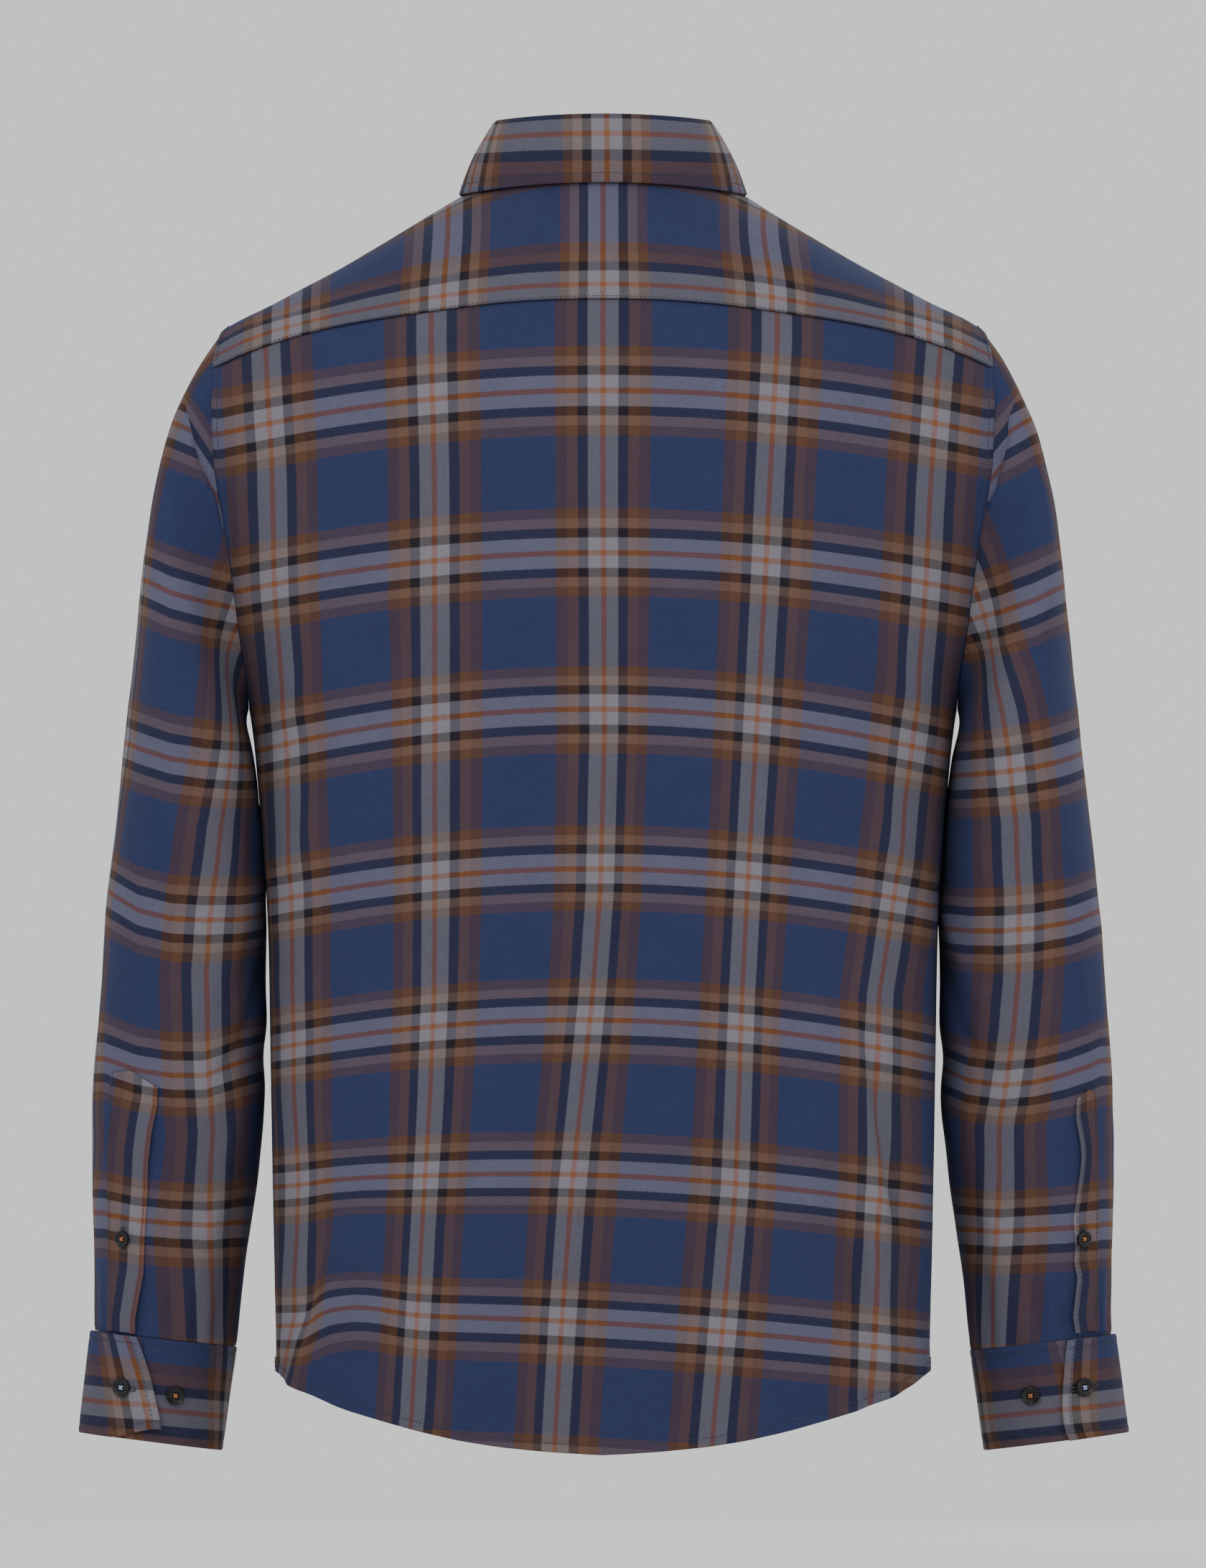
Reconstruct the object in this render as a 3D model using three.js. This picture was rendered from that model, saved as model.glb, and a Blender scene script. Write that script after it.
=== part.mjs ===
// A long-sleeved flannel shirt, filled out as when it is worn, with nobody inside it.
// Millimetres, +Z up. The front faces -Y, so +X is the wearer's left. The origin is the centre of
// the neck opening, level with the collar seam at the back of the neck.

import * as THREE from "three";

const degree = Math.PI / 180;

// Cloth and gaps
const clothThickness = 1.2;
const collarThickness = 1.6;
const standThickness = 2;
const cuffThickness = 2;
const seamGap = 0.3;
const bandGap = 0.5;
const bandTopGap = 3.2;

// Colours of the cloth and the buttons
const flannelColour = 0x3d4a68;
const trimColour = 0x4a4450;
const buttonColour = 0x1c1d20;

// Rings of the body, from below the hem to the neck seam. The height is given at the side, the middle
// of the back and the middle of the front. An ellipse has square 2, and a boxier ring has more.
const bodyRings = table(
  ["halfWidth", "back", "front", "zSide", "zBack", "zFront", "square"],
  [
    [195, 116, 116, -800, -800, -800, 2.6],
    [197, 115, 116, -700, -700, -700, 2.6],
    [199, 114, 116, -610, -610, -610, 2.6],
    [200.5, 112, 115, -525, -525, -525, 2.6],
    [202, 112, 115, -450, -450, -450, 2.6],
    [206.3, 115, 116, -385, -385, -385, 2.6],
    [213.2, 118, 117, -320, -320, -320, 2.5],
    [227.2, 121, 116, -270, -270, -270, 2.4],
    [238, 122, 113, -220, -220, -220, 2.35],
    [246.5, 120.5, 107, -170, -172, -172, 2.3],
    [243.5, 117, 99.5, -125, -128, -135, 2.3],
    [229.7, 111, 92, -93, -98, -112, 2.25],
    [196, 105, 88, -74.3, -76, -98, 2.2],
    [164, 98, 86, -57, -58, -88, 2.15],
    [135, 89.5, 84, -40.5, -41, -79, 2.1],
    [104, 77, 82, -22, -21, -71, 2.05],
    [71, 60, 80, -2, 0, -64, 2],
  ],
);
const underarmLevel = 6;
const yokeCornerLevel = 10.3;
const shoulderLevel = 11;
const neckLevel = bodyRings.length - 1;

// Armhole: how far it opens either side of the shoulder line, as an angle round the body
const armholeAngle = 20 * degree;
const armholeRoundness = 2.2;

// Yoke: how far its back seam rises towards the middle, and where its front seam meets the neck
const yokeSeamRise = 1.84;
const yokeSeamCurve = 1.4;
const yokeFrontAngleAtNeck = -26 * degree;

// Shirt-tail hem
const hem = { side: -716, backMiddle: -767.7, frontMiddle: -744, curve: 1.91 };

// Soft folds of the body: the angle at the hem and at the top, the heights between which the fold
// fades, how wide it is and how far it stands out, or in if that is less than 0. A fold keeps its
// whole height until its hold, less 1, of the way up.
const bodyFolds = table(
  ["angleLow", "angleHigh", "zLow", "zHigh", "width", "height"],
  [
    [24, 30, -780, -600, 5, 4],
    [66, 80, -790, -480, 5, 3.5],
    [100, 92, -790, -560, 6, -3],
    [146, 138, -780, -470, 6, 4.5],
    [158, 150, -780, -500, 5, -3.5],
    [-38, -48, -780, -430, 7, 4],
    [-140, -134, -780, -470, 6, 4],
  ],
);
const foldHold = 1.2;

// Front: half the width of the button band, and how far the under edge is set in
const bandHalfWidth = 16;
const underEdgeInset = 1.7;
const underEdgeBlend = 60;

// Rings of a sleeve below the armhole, as for the left sleeve: outer and inner reach along X. The
// inner side is pressed against the body where it would pass into it.
const sleeveRings = table(
  ["outer", "inner", "zOuter", "zInner", "halfDepth", "y", "square"],
  [
    [287.7, 210, -335, -352, 76, -8, 2.5],
    [293.3, 205, -385, -395, 71, -12, 2.5],
    [299, 202.5, -440, -442, 66, -16, 2.5],
    [304, 202, -500, -503, 60.5, -19, 2.5],
    [307.4, 203.6, -550, -553, 56, -21, 2.4],
    [308.2, 208.6, -600, -606, 51.5, -24, 2.3],
    [306.8, 216.6, -650, -658, 46.5, -27, 2.1],
    [306.2, 221.6, -694, -703.5, 42, -30, 2],
  ],
);
const sleeveEndLevel = sleeveRings.length - 1;
const sleeveClearance = 0.8;

// The sleeve cap: how far its curves run on from the armhole and from the first ring, as shares of
// the way between them, and the way they leave the armhole, outwards, to the side and down
const capReach = { start: 0.3, end: 0.5 };
const capStart = { shoulder: [0.6, 0, -0.8], side: [0.8, 0.25, -0.5], underarm: [0.32, 0, -0.95] };

// Soft folds of a sleeve: the angle round it from straight out, the level along it, its reach each
// way and how far it stands out
const sleeveFolds = table(
  ["angle", "level", "angleReach", "levelReach", "height"],
  [
    [150, 2.6, 34, 0.35, -3],
    [160, 3.5, 36, 0.3, -3.5],
    [128, 4.2, 30, 0.35, 2],
    [40, 2, 26, 0.5, 2],
    [100, 6.1, 16, 0.8, -2],
  ],
);

// Cuff rings at its top and bottom edge, and where its ends lie round the wrist
const cuffRings = table(
  ["outer", "inner", "zOuter", "zInner", "halfDepth", "y", "square"],
  [
    [307, 220.8, -694.4, -703.9, 42.8, -30, 2],
    [311, 224.9, -724, -733, 39.5, -32, 2],
    [315.3, 229.4, -755.6, -766.5, 38.5, -34, 2],
  ],
);
const cuffEnd = { topEdge: 68, bottomEdge: 88, under: 40, lift: 2.6, liftHold: 60, liftFade: 70 };

// The band on the sleeve's opening: its outer and free edges, as angles round the sleeve, and where it
// starts and ends along it
const openingBand = {
  top: { outer: 43, free: 77, level: 3.72 },
  bottom: { outer: 38, free: 69, level: 6.94 },
};

// Collar
const standTop = ringOf(64, 58, 68, 30, 33.5, -32, 2);
const standEnd = { past: 10, inset: 2.6, blend: 40, rise: 0.8 };
const leafEdge = ringOf(87, 66, 109, -9, -4.5, -132, 2.6);
const leafFold = { startAngle: -80, endAngle: -60, gap: 0.5, height: 4, reach: 3.4 };
const leafRows = 5;
const leafBulge = 4;
const leafSlope = 0.45;

// Buttons
const buttonSizes = { front: 5.7, cuff: 5.7, opening: 5 };
const buttonHeight = 2.6;
const buttonSides = 12;
const buttonProfile = table(
  ["radius", "height"],
  [
    [0, 0],
    [0.8, 0],
    [1, 0.35],
    [0.94, 0.9],
    [0.8, 1],
    [0.6, 0.7],
    [0, 0.7],
  ],
);
const collarButtonHeight = 0.45;
const frontButtons = { first: -122, spacing: 88, count: 7 };
const cuffButtons = table(
  ["name", "angle", "level", "lifted"],
  [
    ["fastened", 62, 1.05, true],
    ["spare", 104, 1.1, false],
  ],
);
const openingButton = { angle: 56, level: 5.72 };

// How finely the panels are divided
const counts = { backColumns: 20, frontColumns: 7, low: 10, armhole: 9, shoulder: 4, yokeEnd: 6, yoke: 4 };
const sleeveCounts = { cap: 6, tube: 8, cuff: 28, cuffRows: 2, opening: 8, openingColumns: 3 };
const collarStep = 10;
const halvings = 30;

// Small steps along a surface, from which its normals come
const bodyStep = { angle: 0.004, level: 0.01 };
const tubeStep = { angle: 0.01, level: 0.01 };
const collarTurn = { angle: 0.02, level: 0.05 };
const capStep = 0.03;
const capEndStep = 0.05;

// Tables and interpolation

function table(names, rows) {
  return rows.map((row) => Object.fromEntries(names.map((name, i) => [name, row[i]])));
}

function ringOf(halfWidth, back, front, zSide, zBack, zFront, frontCurve) {
  return { halfWidth, back, front, zSide, zBack, zFront, frontCurve };
}

function mix(a, b, t) {
  return a + (b - a) * t;
}

function smooth(t) {
  const x = Math.min(1, Math.max(0, t));
  return x * x * (3 - 2 * x);
}

// Every column of a table at a level between its rows, on a smooth curve
function along(rows, level) {
  const last = rows.length - 1;
  const i = Math.min(last - 1, Math.max(0, Math.floor(level)));
  const t = level - i;
  const found = {};
  for (const name of Object.keys(rows[0])) {
    const at = (k) => rows[Math.min(last, Math.max(0, k))][name];
    const [a, b, c, d] = [at(i - 1), at(i), at(i + 1), at(i + 2)];
    found[name] =
      0.5 *
      (2 * b +
        (c - a) * t +
        (2 * a - 5 * b + 4 * c - d) * t * t +
        (3 * b - a - 3 * c + d) * t * t * t);
  }
  return found;
}

function signedPower(value, power) {
  return Math.sign(value) * Math.pow(Math.abs(value), power);
}

function bell(distance, reach) {
  return Math.exp(-((distance / reach) ** 2));
}

// The body's surface

function bodyFoldAt(angle, z) {
  let total = 0;
  for (const fold of bodyFolds) {
    const t = (z - fold.zLow) / (fold.zHigh - fold.zLow);
    const middle = mix(fold.angleLow, fold.angleHigh, t);
    const distance = THREE.MathUtils.euclideanModulo(angle / degree - middle + 180, 360) - 180;
    total += fold.height * bell(distance, fold.width) * smooth(foldHold - t);
  }
  return total;
}

function bodyPoint(angle, level) {
  const ring = along(bodyRings, level);
  const c = Math.cos(angle);
  const s = Math.sin(angle);
  const rise = (s > 0 ? ring.zBack : ring.zFront) - ring.zSide;
  const z = ring.zSide + rise * s * s;
  const fold = bodyFoldAt(angle, z);
  return new THREE.Vector3(
    ring.halfWidth * signedPower(c, 2 / ring.square) + fold * c,
    (s > 0 ? ring.back : ring.front) * signedPower(s, 2 / ring.square) + fold * s,
    z,
  );
}

// A point of a surface with its normal. The surface turns anticlockwise from above as the angle
// grows, and the level grows upwards if up is 1 and downwards if it is -1.
function withNormal(surface, angle, level, step, up) {
  const point = surface(angle, level);
  const across = surface(angle + step.angle, level).sub(surface(angle - step.angle, level));
  const upwards = surface(angle, level + step.level).sub(surface(angle, level - step.level));
  return { point, normal: across.cross(upwards).multiplyScalar(up).normalize() };
}

function bodySpot(angle, level) {
  const inside = Math.min(level, neckLevel - bodyStep.level);
  const { normal } = withNormal(bodyPoint, angle, inside, bodyStep, 1);
  return { point: bodyPoint(angle, level), normal };
}

function levelOfHeight(z) {
  let low = 0;
  let high = underarmLevel;
  for (let i = 0; i < halvings; i += 1) {
    const middle = (low + high) / 2;
    if (along(bodyRings, middle).zSide < z) low = middle;
    else high = middle;
  }
  return low;
}

function hemLevel(angle) {
  const middle = Math.sin(angle) > 0 ? hem.backMiddle : hem.frontMiddle;
  const share = Math.pow(Math.abs(Math.cos(angle)), hem.curve);
  return levelOfHeight(mix(middle, hem.side, share));
}

// How far the armhole's edge is from the shoulder line, as an angle, at a level
function armholeEdge(level) {
  const half = (shoulderLevel - underarmLevel) / 2;
  const away = Math.abs(level - underarmLevel - half) / half;
  return armholeAngle * Math.sqrt(Math.max(0, 1 - Math.pow(away, armholeRoundness)));
}

// The level at which the armhole's upper half crosses an angle
function armholeTop(angle) {
  const half = (shoulderLevel - underarmLevel) / 2;
  const share = Math.min(1, Math.abs(angle) / armholeAngle);
  return underarmLevel + half + half * Math.pow(1 - share * share, 1 / armholeRoundness);
}

const yokeCornerAngle = armholeEdge(yokeCornerLevel);

// The yoke's back seam, from the left armhole at -1 to the right armhole at 1
function yokeSeam(u) {
  const share = Math.sin((Math.PI / 2) * (1 - Math.abs(u)));
  return yokeCornerLevel + yokeSeamRise * Math.pow(share, yokeSeamCurve);
}

function yokeFrontAngle(level) {
  const up = (level - yokeCornerLevel) / (neckLevel - yokeCornerLevel);
  return mix(-yokeCornerAngle, yokeFrontAngleAtNeck, up);
}

// Levels up a panel: from the hem to the underarm, then to the top of the armhole edge
function levelsUp(hemAt, top) {
  const levels = [];
  for (let j = 0; j < counts.low; j += 1) levels.push(mix(hemAt, underarmLevel, j / counts.low));
  for (let j = 0; j <= counts.armhole; j += 1) levels.push(mix(underarmLevel, top, j / counts.armhole));
  return levels;
}

// Panels of the body, each a grid of rows of points with normals

function backGrid() {
  const rows = levelsUp(0, 1).map(() => []);
  for (let i = 0; i <= counts.backColumns; i += 1) {
    const u = -1 + (2 * i) / counts.backColumns;
    const hemAt = hemLevel(Math.PI / 2 + (u * Math.PI) / 2);
    levelsUp(hemAt, yokeSeam(u)).forEach((level, j) => {
      const half = Math.PI / 2 - edgeAngle(level);
      rows[j].push(bodySpot(Math.PI / 2 + u * half, level));
    });
  }
  return rows;
}

// How far the back's side edge is from the side line: nothing up to the underarm, then the armhole
function edgeAngle(level) {
  return level > underarmLevel ? armholeEdge(Math.min(level, yokeCornerLevel)) : 0;
}

function angleOfX(x, level) {
  const ring = along(bodyRings, level);
  const share = Math.min(1, Math.abs(x) / ring.halfWidth);
  return -Math.PI / 2 + Math.sign(x) * Math.asin(Math.pow(share, ring.square / 2));
}

function frontSideAngle(level) {
  if (level <= underarmLevel) return 0;
  return level < yokeCornerLevel ? -armholeEdge(level) : yokeFrontAngle(level);
}

// The left front. The right one is its mirror image, set in where it passes under the left.
function frontGrid(inset) {
  const levelRows = levelsUp(0, yokeCornerLevel);
  for (let j = 1; j <= counts.shoulder; j += 1) {
    levelRows.push(mix(yokeCornerLevel, neckLevel, j / counts.shoulder));
  }
  return levelRows.map((level, j) => {
    const row = [];
    for (let i = 0; i <= counts.frontColumns + 2; i += 1) {
      const past = Math.max(0, i - counts.frontColumns);
      const place = (at) => {
        const edge = angleOfX(bandHalfWidth * (1 - past), at);
        return past > 0 ? edge : mix(frontSideAngle(at), edge, i / counts.frontColumns);
      };
      const low = j < counts.low ? mix(hemLevel(place(1)), underarmLevel, j / counts.low) : level;
      const spot = bodySpot(place(low), low);
      const near = 1 - smooth((Math.abs(spot.point.x) - bandHalfWidth) / underEdgeBlend);
      spot.point.addScaledVector(spot.normal, -inset * (spot.point.x < bandHalfWidth + 1 ? 1 : near));
      row.push(spot);
    }
    return row;
  });
}

function yokeGrid() {
  const lower = [];
  const addEnd = (side) => {
    for (let i = 0; i < counts.yokeEnd; i += 1) {
      const angle = mix(-yokeCornerAngle, yokeCornerAngle, i / counts.yokeEnd);
      const level = i === 0 ? yokeCornerLevel : armholeTop(angle);
      lower.push({ angle: side > 0 ? angle : Math.PI - angle, level });
    }
  };
  addEnd(1);
  for (let i = 0; i <= counts.backColumns; i += 1) {
    const u = -1 + (2 * i) / counts.backColumns;
    lower.push({ angle: Math.PI / 2 + u * (Math.PI / 2 - yokeCornerAngle), level: yokeSeam(u) });
  }
  const end = lower.length;
  addEnd(-1);
  lower.splice(end, counts.yokeEnd, ...lower.slice(end).reverse());
  const rows = [];
  for (let j = 0; j <= counts.yoke; j += 1) {
    const t = j / counts.yoke;
    rows.push(
      lower.map(({ angle, level }, i) => {
        const round = i / (lower.length - 1);
        const atNeck = mix(yokeFrontAngleAtNeck, Math.PI - yokeFrontAngleAtNeck, round);
        const here = mix(level, neckLevel, t);
        if (i === 0) return bodySpot(yokeFrontAngle(here), here);
        if (i === lower.length - 1) return bodySpot(Math.PI - yokeFrontAngle(here), here);
        return bodySpot(mix(angle, atNeck, t), here);
      }),
    );
  }
  return rows;
}

// Grids into solids

// Moves a grid's edge points in towards their neighbours, to leave half a seam's gap
function trimmed(grid, edges, by = seamGap / 2) {
  const copied = (spot) => ({ point: spot.point.clone(), normal: spot.normal });
  const rows = grid.map((row) => row.map(copied));
  const pull = (spot, neighbour) => {
    const towards = neighbour.point.clone().sub(spot.point).normalize();
    spot.point.addScaledVector(towards, by);
  };
  const last = rows.length - 1;
  const end = rows[0].length - 1;
  if (edges.includes("bottom")) rows[0].forEach((spot, i) => pull(spot, grid[1][i]));
  if (edges.includes("top")) rows[last].forEach((spot, i) => pull(spot, grid[last - 1][i]));
  if (edges.includes("start")) rows.forEach((row, j) => pull(row[0], grid[j][1]));
  if (edges.includes("end")) rows.forEach((row, j) => pull(row[end], grid[j][end - 1]));
  return rows;
}

function mirrored(grid) {
  const flip = (v) => new THREE.Vector3(-v.x, v.y, v.z);
  const flipped = ({ point, normal }) => ({ point: flip(point), normal: flip(normal) });
  return grid.map((row) => row.map(flipped));
}

// A wall whose outer face is the grid moved out by lift. A closed grid is a tube.
function wall(grid, thickness, { closed = false, lift = 0 } = {}) {
  const rowCount = grid.length;
  const columnCount = grid[0].length;
  const positions = [];
  for (const depth of [lift, lift - thickness]) {
    for (const row of grid) {
      for (const { point, normal } of row) {
        positions.push(...point.clone().addScaledVector(normal, depth).toArray());
      }
    }
  }
  const face = rowCount * columnCount;
  const at = (side, j, i) => side * face + j * columnCount + (i % columnCount);
  const indices = [];
  const quad = (a, b, c, d) => indices.push(a, b, c, a, c, d);
  const columns = closed ? columnCount : columnCount - 1;
  for (let j = 0; j < rowCount - 1; j += 1) {
    for (let i = 0; i < columns; i += 1) {
      quad(at(0, j, i), at(0, j, i + 1), at(0, j + 1, i + 1), at(0, j + 1, i));
      quad(at(1, j, i), at(1, j + 1, i), at(1, j + 1, i + 1), at(1, j, i + 1));
    }
  }
  for (let i = 0; i < columns; i += 1) {
    const top = rowCount - 1;
    quad(at(1, 0, i), at(1, 0, i + 1), at(0, 0, i + 1), at(0, 0, i));
    quad(at(0, top, i), at(0, top, i + 1), at(1, top, i + 1), at(1, top, i));
  }
  if (!closed) {
    const end = columnCount - 1;
    for (let j = 0; j < rowCount - 1; j += 1) {
      quad(at(0, j, 0), at(0, j + 1, 0), at(1, j + 1, 0), at(1, j, 0));
      quad(at(1, j, end), at(1, j + 1, end), at(0, j + 1, end), at(0, j, end));
    }
  }
  if (signedVolume(positions, indices) < 0) indices.reverse();
  const geometry = new THREE.BufferGeometry();
  geometry.setAttribute("position", new THREE.Float32BufferAttribute(positions, 3));
  geometry.setIndex(indices);
  geometry.computeVertexNormals();
  return geometry;
}

function signedVolume(positions, indices) {
  const corner = (i) => new THREE.Vector3().fromArray(positions, 3 * indices[i]);
  let total = 0;
  for (let i = 0; i < indices.length; i += 3) {
    total += corner(i).dot(corner(i + 1).cross(corner(i + 2)));
  }
  return total;
}

const materials = {
  flannel: new THREE.MeshStandardMaterial({ color: flannelColour, roughness: 0.95, metalness: 0 }),
  trim: new THREE.MeshStandardMaterial({ color: trimColour, roughness: 0.95, metalness: 0 }),
  button: new THREE.MeshStandardMaterial({ color: buttonColour, roughness: 0.25, metalness: 0 }),
};

const shirt = new THREE.Group();

function add(name, geometry, material) {
  const mesh = new THREE.Mesh(geometry, material);
  mesh.name = name;
  shirt.add(mesh);
  return mesh;
}

// Body

const back = backGrid();
const yoke = yokeGrid();
const frontLeft = frontGrid(0);
const frontRight = mirrored(frontGrid(underEdgeInset));

const bandLift = seamGap + clothThickness;

function addPanel(name, grid, edges) {
  add(name, wall(trimmed(grid, edges), clothThickness), materials.flannel);
}

// The band lies on the left front's edge, so it is made from that edge's three columns moved out
function addButtonBand() {
  const grid = frontLeft.map((row) => row.slice(-3));
  const shape = wall(trimmed(grid, ["top"], bandTopGap), clothThickness, { lift: bandLift });
  add("button_band", shape, materials.trim);
}

addPanel("back", back, ["top", "start", "end"]);
addPanel("yoke", yoke, ["bottom", "top", "start", "end"]);
addPanel("front_left", frontLeft, ["top", "start"]);
addPanel("front_right", frontRight, ["top", "start"]);
addButtonBand();

// Sleeves

function sleeveFoldAt(angle, level) {
  let total = 0;
  for (const fold of sleeveFolds) {
    const distance = THREE.MathUtils.euclideanModulo(angle / degree - fold.angle + 180, 360) - 180;
    total += fold.height * bell(distance, fold.angleReach) * bell(level - fold.level, fold.levelReach);
  }
  return total;
}

// Keeps a point just outside the body. Behind its widest line the body stays in front of the sleeve.
function clearOfBody(point) {
  const ring = along(bodyRings, levelOfHeight(point.z));
  const depth = Math.min(1, Math.max(0, -point.y) / ring.front);
  const limit = ring.halfWidth * Math.pow(1 - Math.pow(depth, ring.square), 1 / ring.square);
  point.x = Math.max(point.x, limit + sleeveClearance);
  return point;
}

function tubePoint(rings, angle, level) {
  const ring = along(rings, level);
  const half = (ring.outer - ring.inner) / 2;
  const c = Math.cos(angle);
  const s = Math.sin(angle);
  const fold = rings === sleeveRings ? sleeveFoldAt(angle, level) : 0;
  return clearOfBody(
    new THREE.Vector3(
      ring.inner + half + half * signedPower(c, 2 / ring.square) + fold * c,
      ring.y + ring.halfDepth * signedPower(s, 2 / ring.square) + fold * s,
      mix(ring.zInner, ring.zOuter, (1 + c) / 2),
    ),
  );
}

function onTube(rings, angle, level) {
  return withNormal((a, b) => tubePoint(rings, a, b), angle, level, tubeStep, -1);
}

// The left armhole's edge points, from the shoulder line round by the back and the underarm
function armholeLoop() {
  const middle = counts.yokeEnd / 2;
  const overShoulder = yoke[0].slice(0, counts.yokeEnd + 1);
  const behind = back.slice(counts.low, back.length - 1).map((row) => row[0]);
  const before = frontLeft.slice(counts.low + 1, counts.low + counts.armhole).map((row) => row[0]);
  return [
    ...overShoulder.slice(middle),
    ...behind.reverse(),
    ...before,
    ...overShoulder.slice(0, middle),
  ];
}

// The angle round the sleeve of each armhole point: from 0 at the shoulder to half a turn under the arm
function loopAngles(loop) {
  const lowest = loop.reduce((best, spot, i) => (spot.point.z < loop[best].point.z ? i : best), 0);
  const lengths = [0];
  for (let i = 1; i <= loop.length; i += 1) {
    lengths.push(lengths[i - 1] + loop[i - 1].point.distanceTo(loop[i % loop.length].point));
  }
  const under = lengths[lowest];
  const whole = lengths[loop.length];
  return loop.map((_, i) =>
    i <= lowest
      ? (Math.PI * lengths[i]) / under
      : Math.PI + (Math.PI * (lengths[i] - under)) / (whole - under),
  );
}

// A point of the cap, on the curve from armhole point i at 0 to the sleeve's first ring at 1. It starts
// the seam's gap outside the body, which grows from nothing at the shoulder to all of it under the arm.
function capPoint(spot, angle, t) {
  const low = (1 - Math.cos(angle)) / 2;
  const from = spot.point.clone().addScaledVector(spot.normal, seamGap * low);
  const to = tubePoint(sleeveRings, angle, 0);
  const chord = from.distanceTo(to);
  const down = tubePoint(sleeveRings, angle, capEndStep).sub(to).normalize();
  const upright = low < 0.5 ? capStart.shoulder : capStart.underarm;
  const out = new THREE.Vector3(...upright).lerp(new THREE.Vector3(...capStart.side), Math.sin(angle) ** 2);
  out.y *= Math.sign(Math.sin(angle));
  out.normalize();
  const curve = new THREE.CubicBezierCurve3(
    from,
    from.clone().addScaledVector(out, capReach.start * chord),
    to.clone().addScaledVector(down, -capReach.end * chord),
    to,
  );
  return curve.getPoint(t);
}

function capRow(loop, angles, t) {
  const ring = loop.map((spot, i) => capPoint(spot, angles[i], t));
  return ring.map((point, i) => {
    const before = ring[(i + ring.length - 1) % ring.length];
    const across = ring[(i + 1) % ring.length].clone().sub(before);
    const above = capPoint(loop[i], angles[i], Math.max(0, t - capStep));
    const down = capPoint(loop[i], angles[i], t + capStep).sub(above);
    return { point, normal: down.cross(across).normalize() };
  });
}

function sleeveGrid() {
  const loop = armholeLoop();
  const angles = loopAngles(loop);
  const rows = [];
  for (let j = 0; j < sleeveCounts.cap; j += 1) rows.push(capRow(loop, angles, j / sleeveCounts.cap));
  for (let j = 0; j <= sleeveCounts.tube; j += 1) {
    const level = (sleeveEndLevel * j) / sleeveCounts.tube;
    rows.push(angles.map((angle) => onTube(sleeveRings, angle, level)));
  }
  return rows;
}

// A cuff is one strip that goes round the wrist and laps over its own end
function cuffGrid() {
  const rows = [];
  for (let j = 0; j <= sleeveCounts.cuffRows; j += 1) {
    const level = ((cuffRings.length - 1) * j) / sleeveCounts.cuffRows;
    const start = mix(cuffEnd.topEdge, cuffEnd.bottomEdge, j / sleeveCounts.cuffRows);
    const row = [];
    for (let i = 0; i <= sleeveCounts.cuff; i += 1) {
      const angle = mix(start, cuffEnd.under - 360, i / sleeveCounts.cuff);
      const spot = onTube(cuffRings, angle * degree, level);
      spot.point.addScaledVector(spot.normal, cuffLift(start - angle));
      row.push(spot);
    }
    rows.push(row);
  }
  return rows;
}

function cuffLift(travelled) {
  return cuffEnd.lift * (1 - smooth((travelled - cuffEnd.liftHold) / cuffEnd.liftFade));
}

function openingGrid() {
  const rows = [];
  for (let j = 0; j <= sleeveCounts.opening; j += 1) {
    const { top, bottom } = openingBand;
    const down = j / sleeveCounts.opening;
    const row = [];
    for (let i = 0; i <= sleeveCounts.openingColumns; i += 1) {
      const across = i / sleeveCounts.openingColumns;
      const angle = mix(mix(top.outer, bottom.outer, down), mix(top.free, bottom.free, down), across);
      row.push(onTube(sleeveRings, angle * degree, mix(top.level, bottom.level, down)));
    }
    rows.push(row);
  }
  return rows;
}

// Buttons: a rimmed disc whose back is lift above the cloth at a spot
function addButton(name, spot, radius, lift) {
  const profile = buttonProfile.map((at) => new THREE.Vector2(at.radius * radius, at.height * buttonHeight));
  const mesh = add(name, new THREE.LatheGeometry(profile, buttonSides), materials.button);
  mesh.position.copy(spot.point).addScaledVector(spot.normal, lift);
  mesh.quaternion.setFromUnitVectors(new THREE.Vector3(0, 1, 0), spot.normal);
}

// What a sleeve is made of, turned for its side
function addSleeve(side, turned) {
  const sleeve = trimmed(turned(sleeveGrid()), ["bottom", "top"]);
  add("sleeve_" + side, wall(sleeve, clothThickness, { closed: true }), materials.flannel);
  const cuff = trimmed(turned(cuffGrid()), ["bottom"]);
  add("cuff_" + side, wall(cuff, cuffThickness), materials.trim);
  const band = wall(turned(openingGrid()), clothThickness, { lift: bandGap + clothThickness });
  add("sleeve_band_" + side, band, materials.trim);
}

function addSleeveButtons(side, turned) {
  const spotOn = (rings, angle, level) => turned([[onTube(rings, angle * degree, level)]])[0][0];
  for (const { name, angle, level, lifted } of cuffButtons) {
    const start = mix(cuffEnd.topEdge, cuffEnd.bottomEdge, level / (cuffRings.length - 1));
    const lift = bandGap + (lifted ? cuffLift(start - angle) : 0);
    addButton(`cuff_button_${name}_${side}`, spotOn(cuffRings, angle, level), buttonSizes.cuff, lift);
  }
  const spot = spotOn(sleeveRings, openingButton.angle, openingButton.level);
  addButton("band_button_" + side, spot, buttonSizes.opening, 2 * bandGap + clothThickness);
}

const sides = { left: (grid) => grid, right: mirrored };
for (const [side, turned] of Object.entries(sides)) {
  addSleeve(side, turned);
  addSleeveButtons(side, turned);
}

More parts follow.
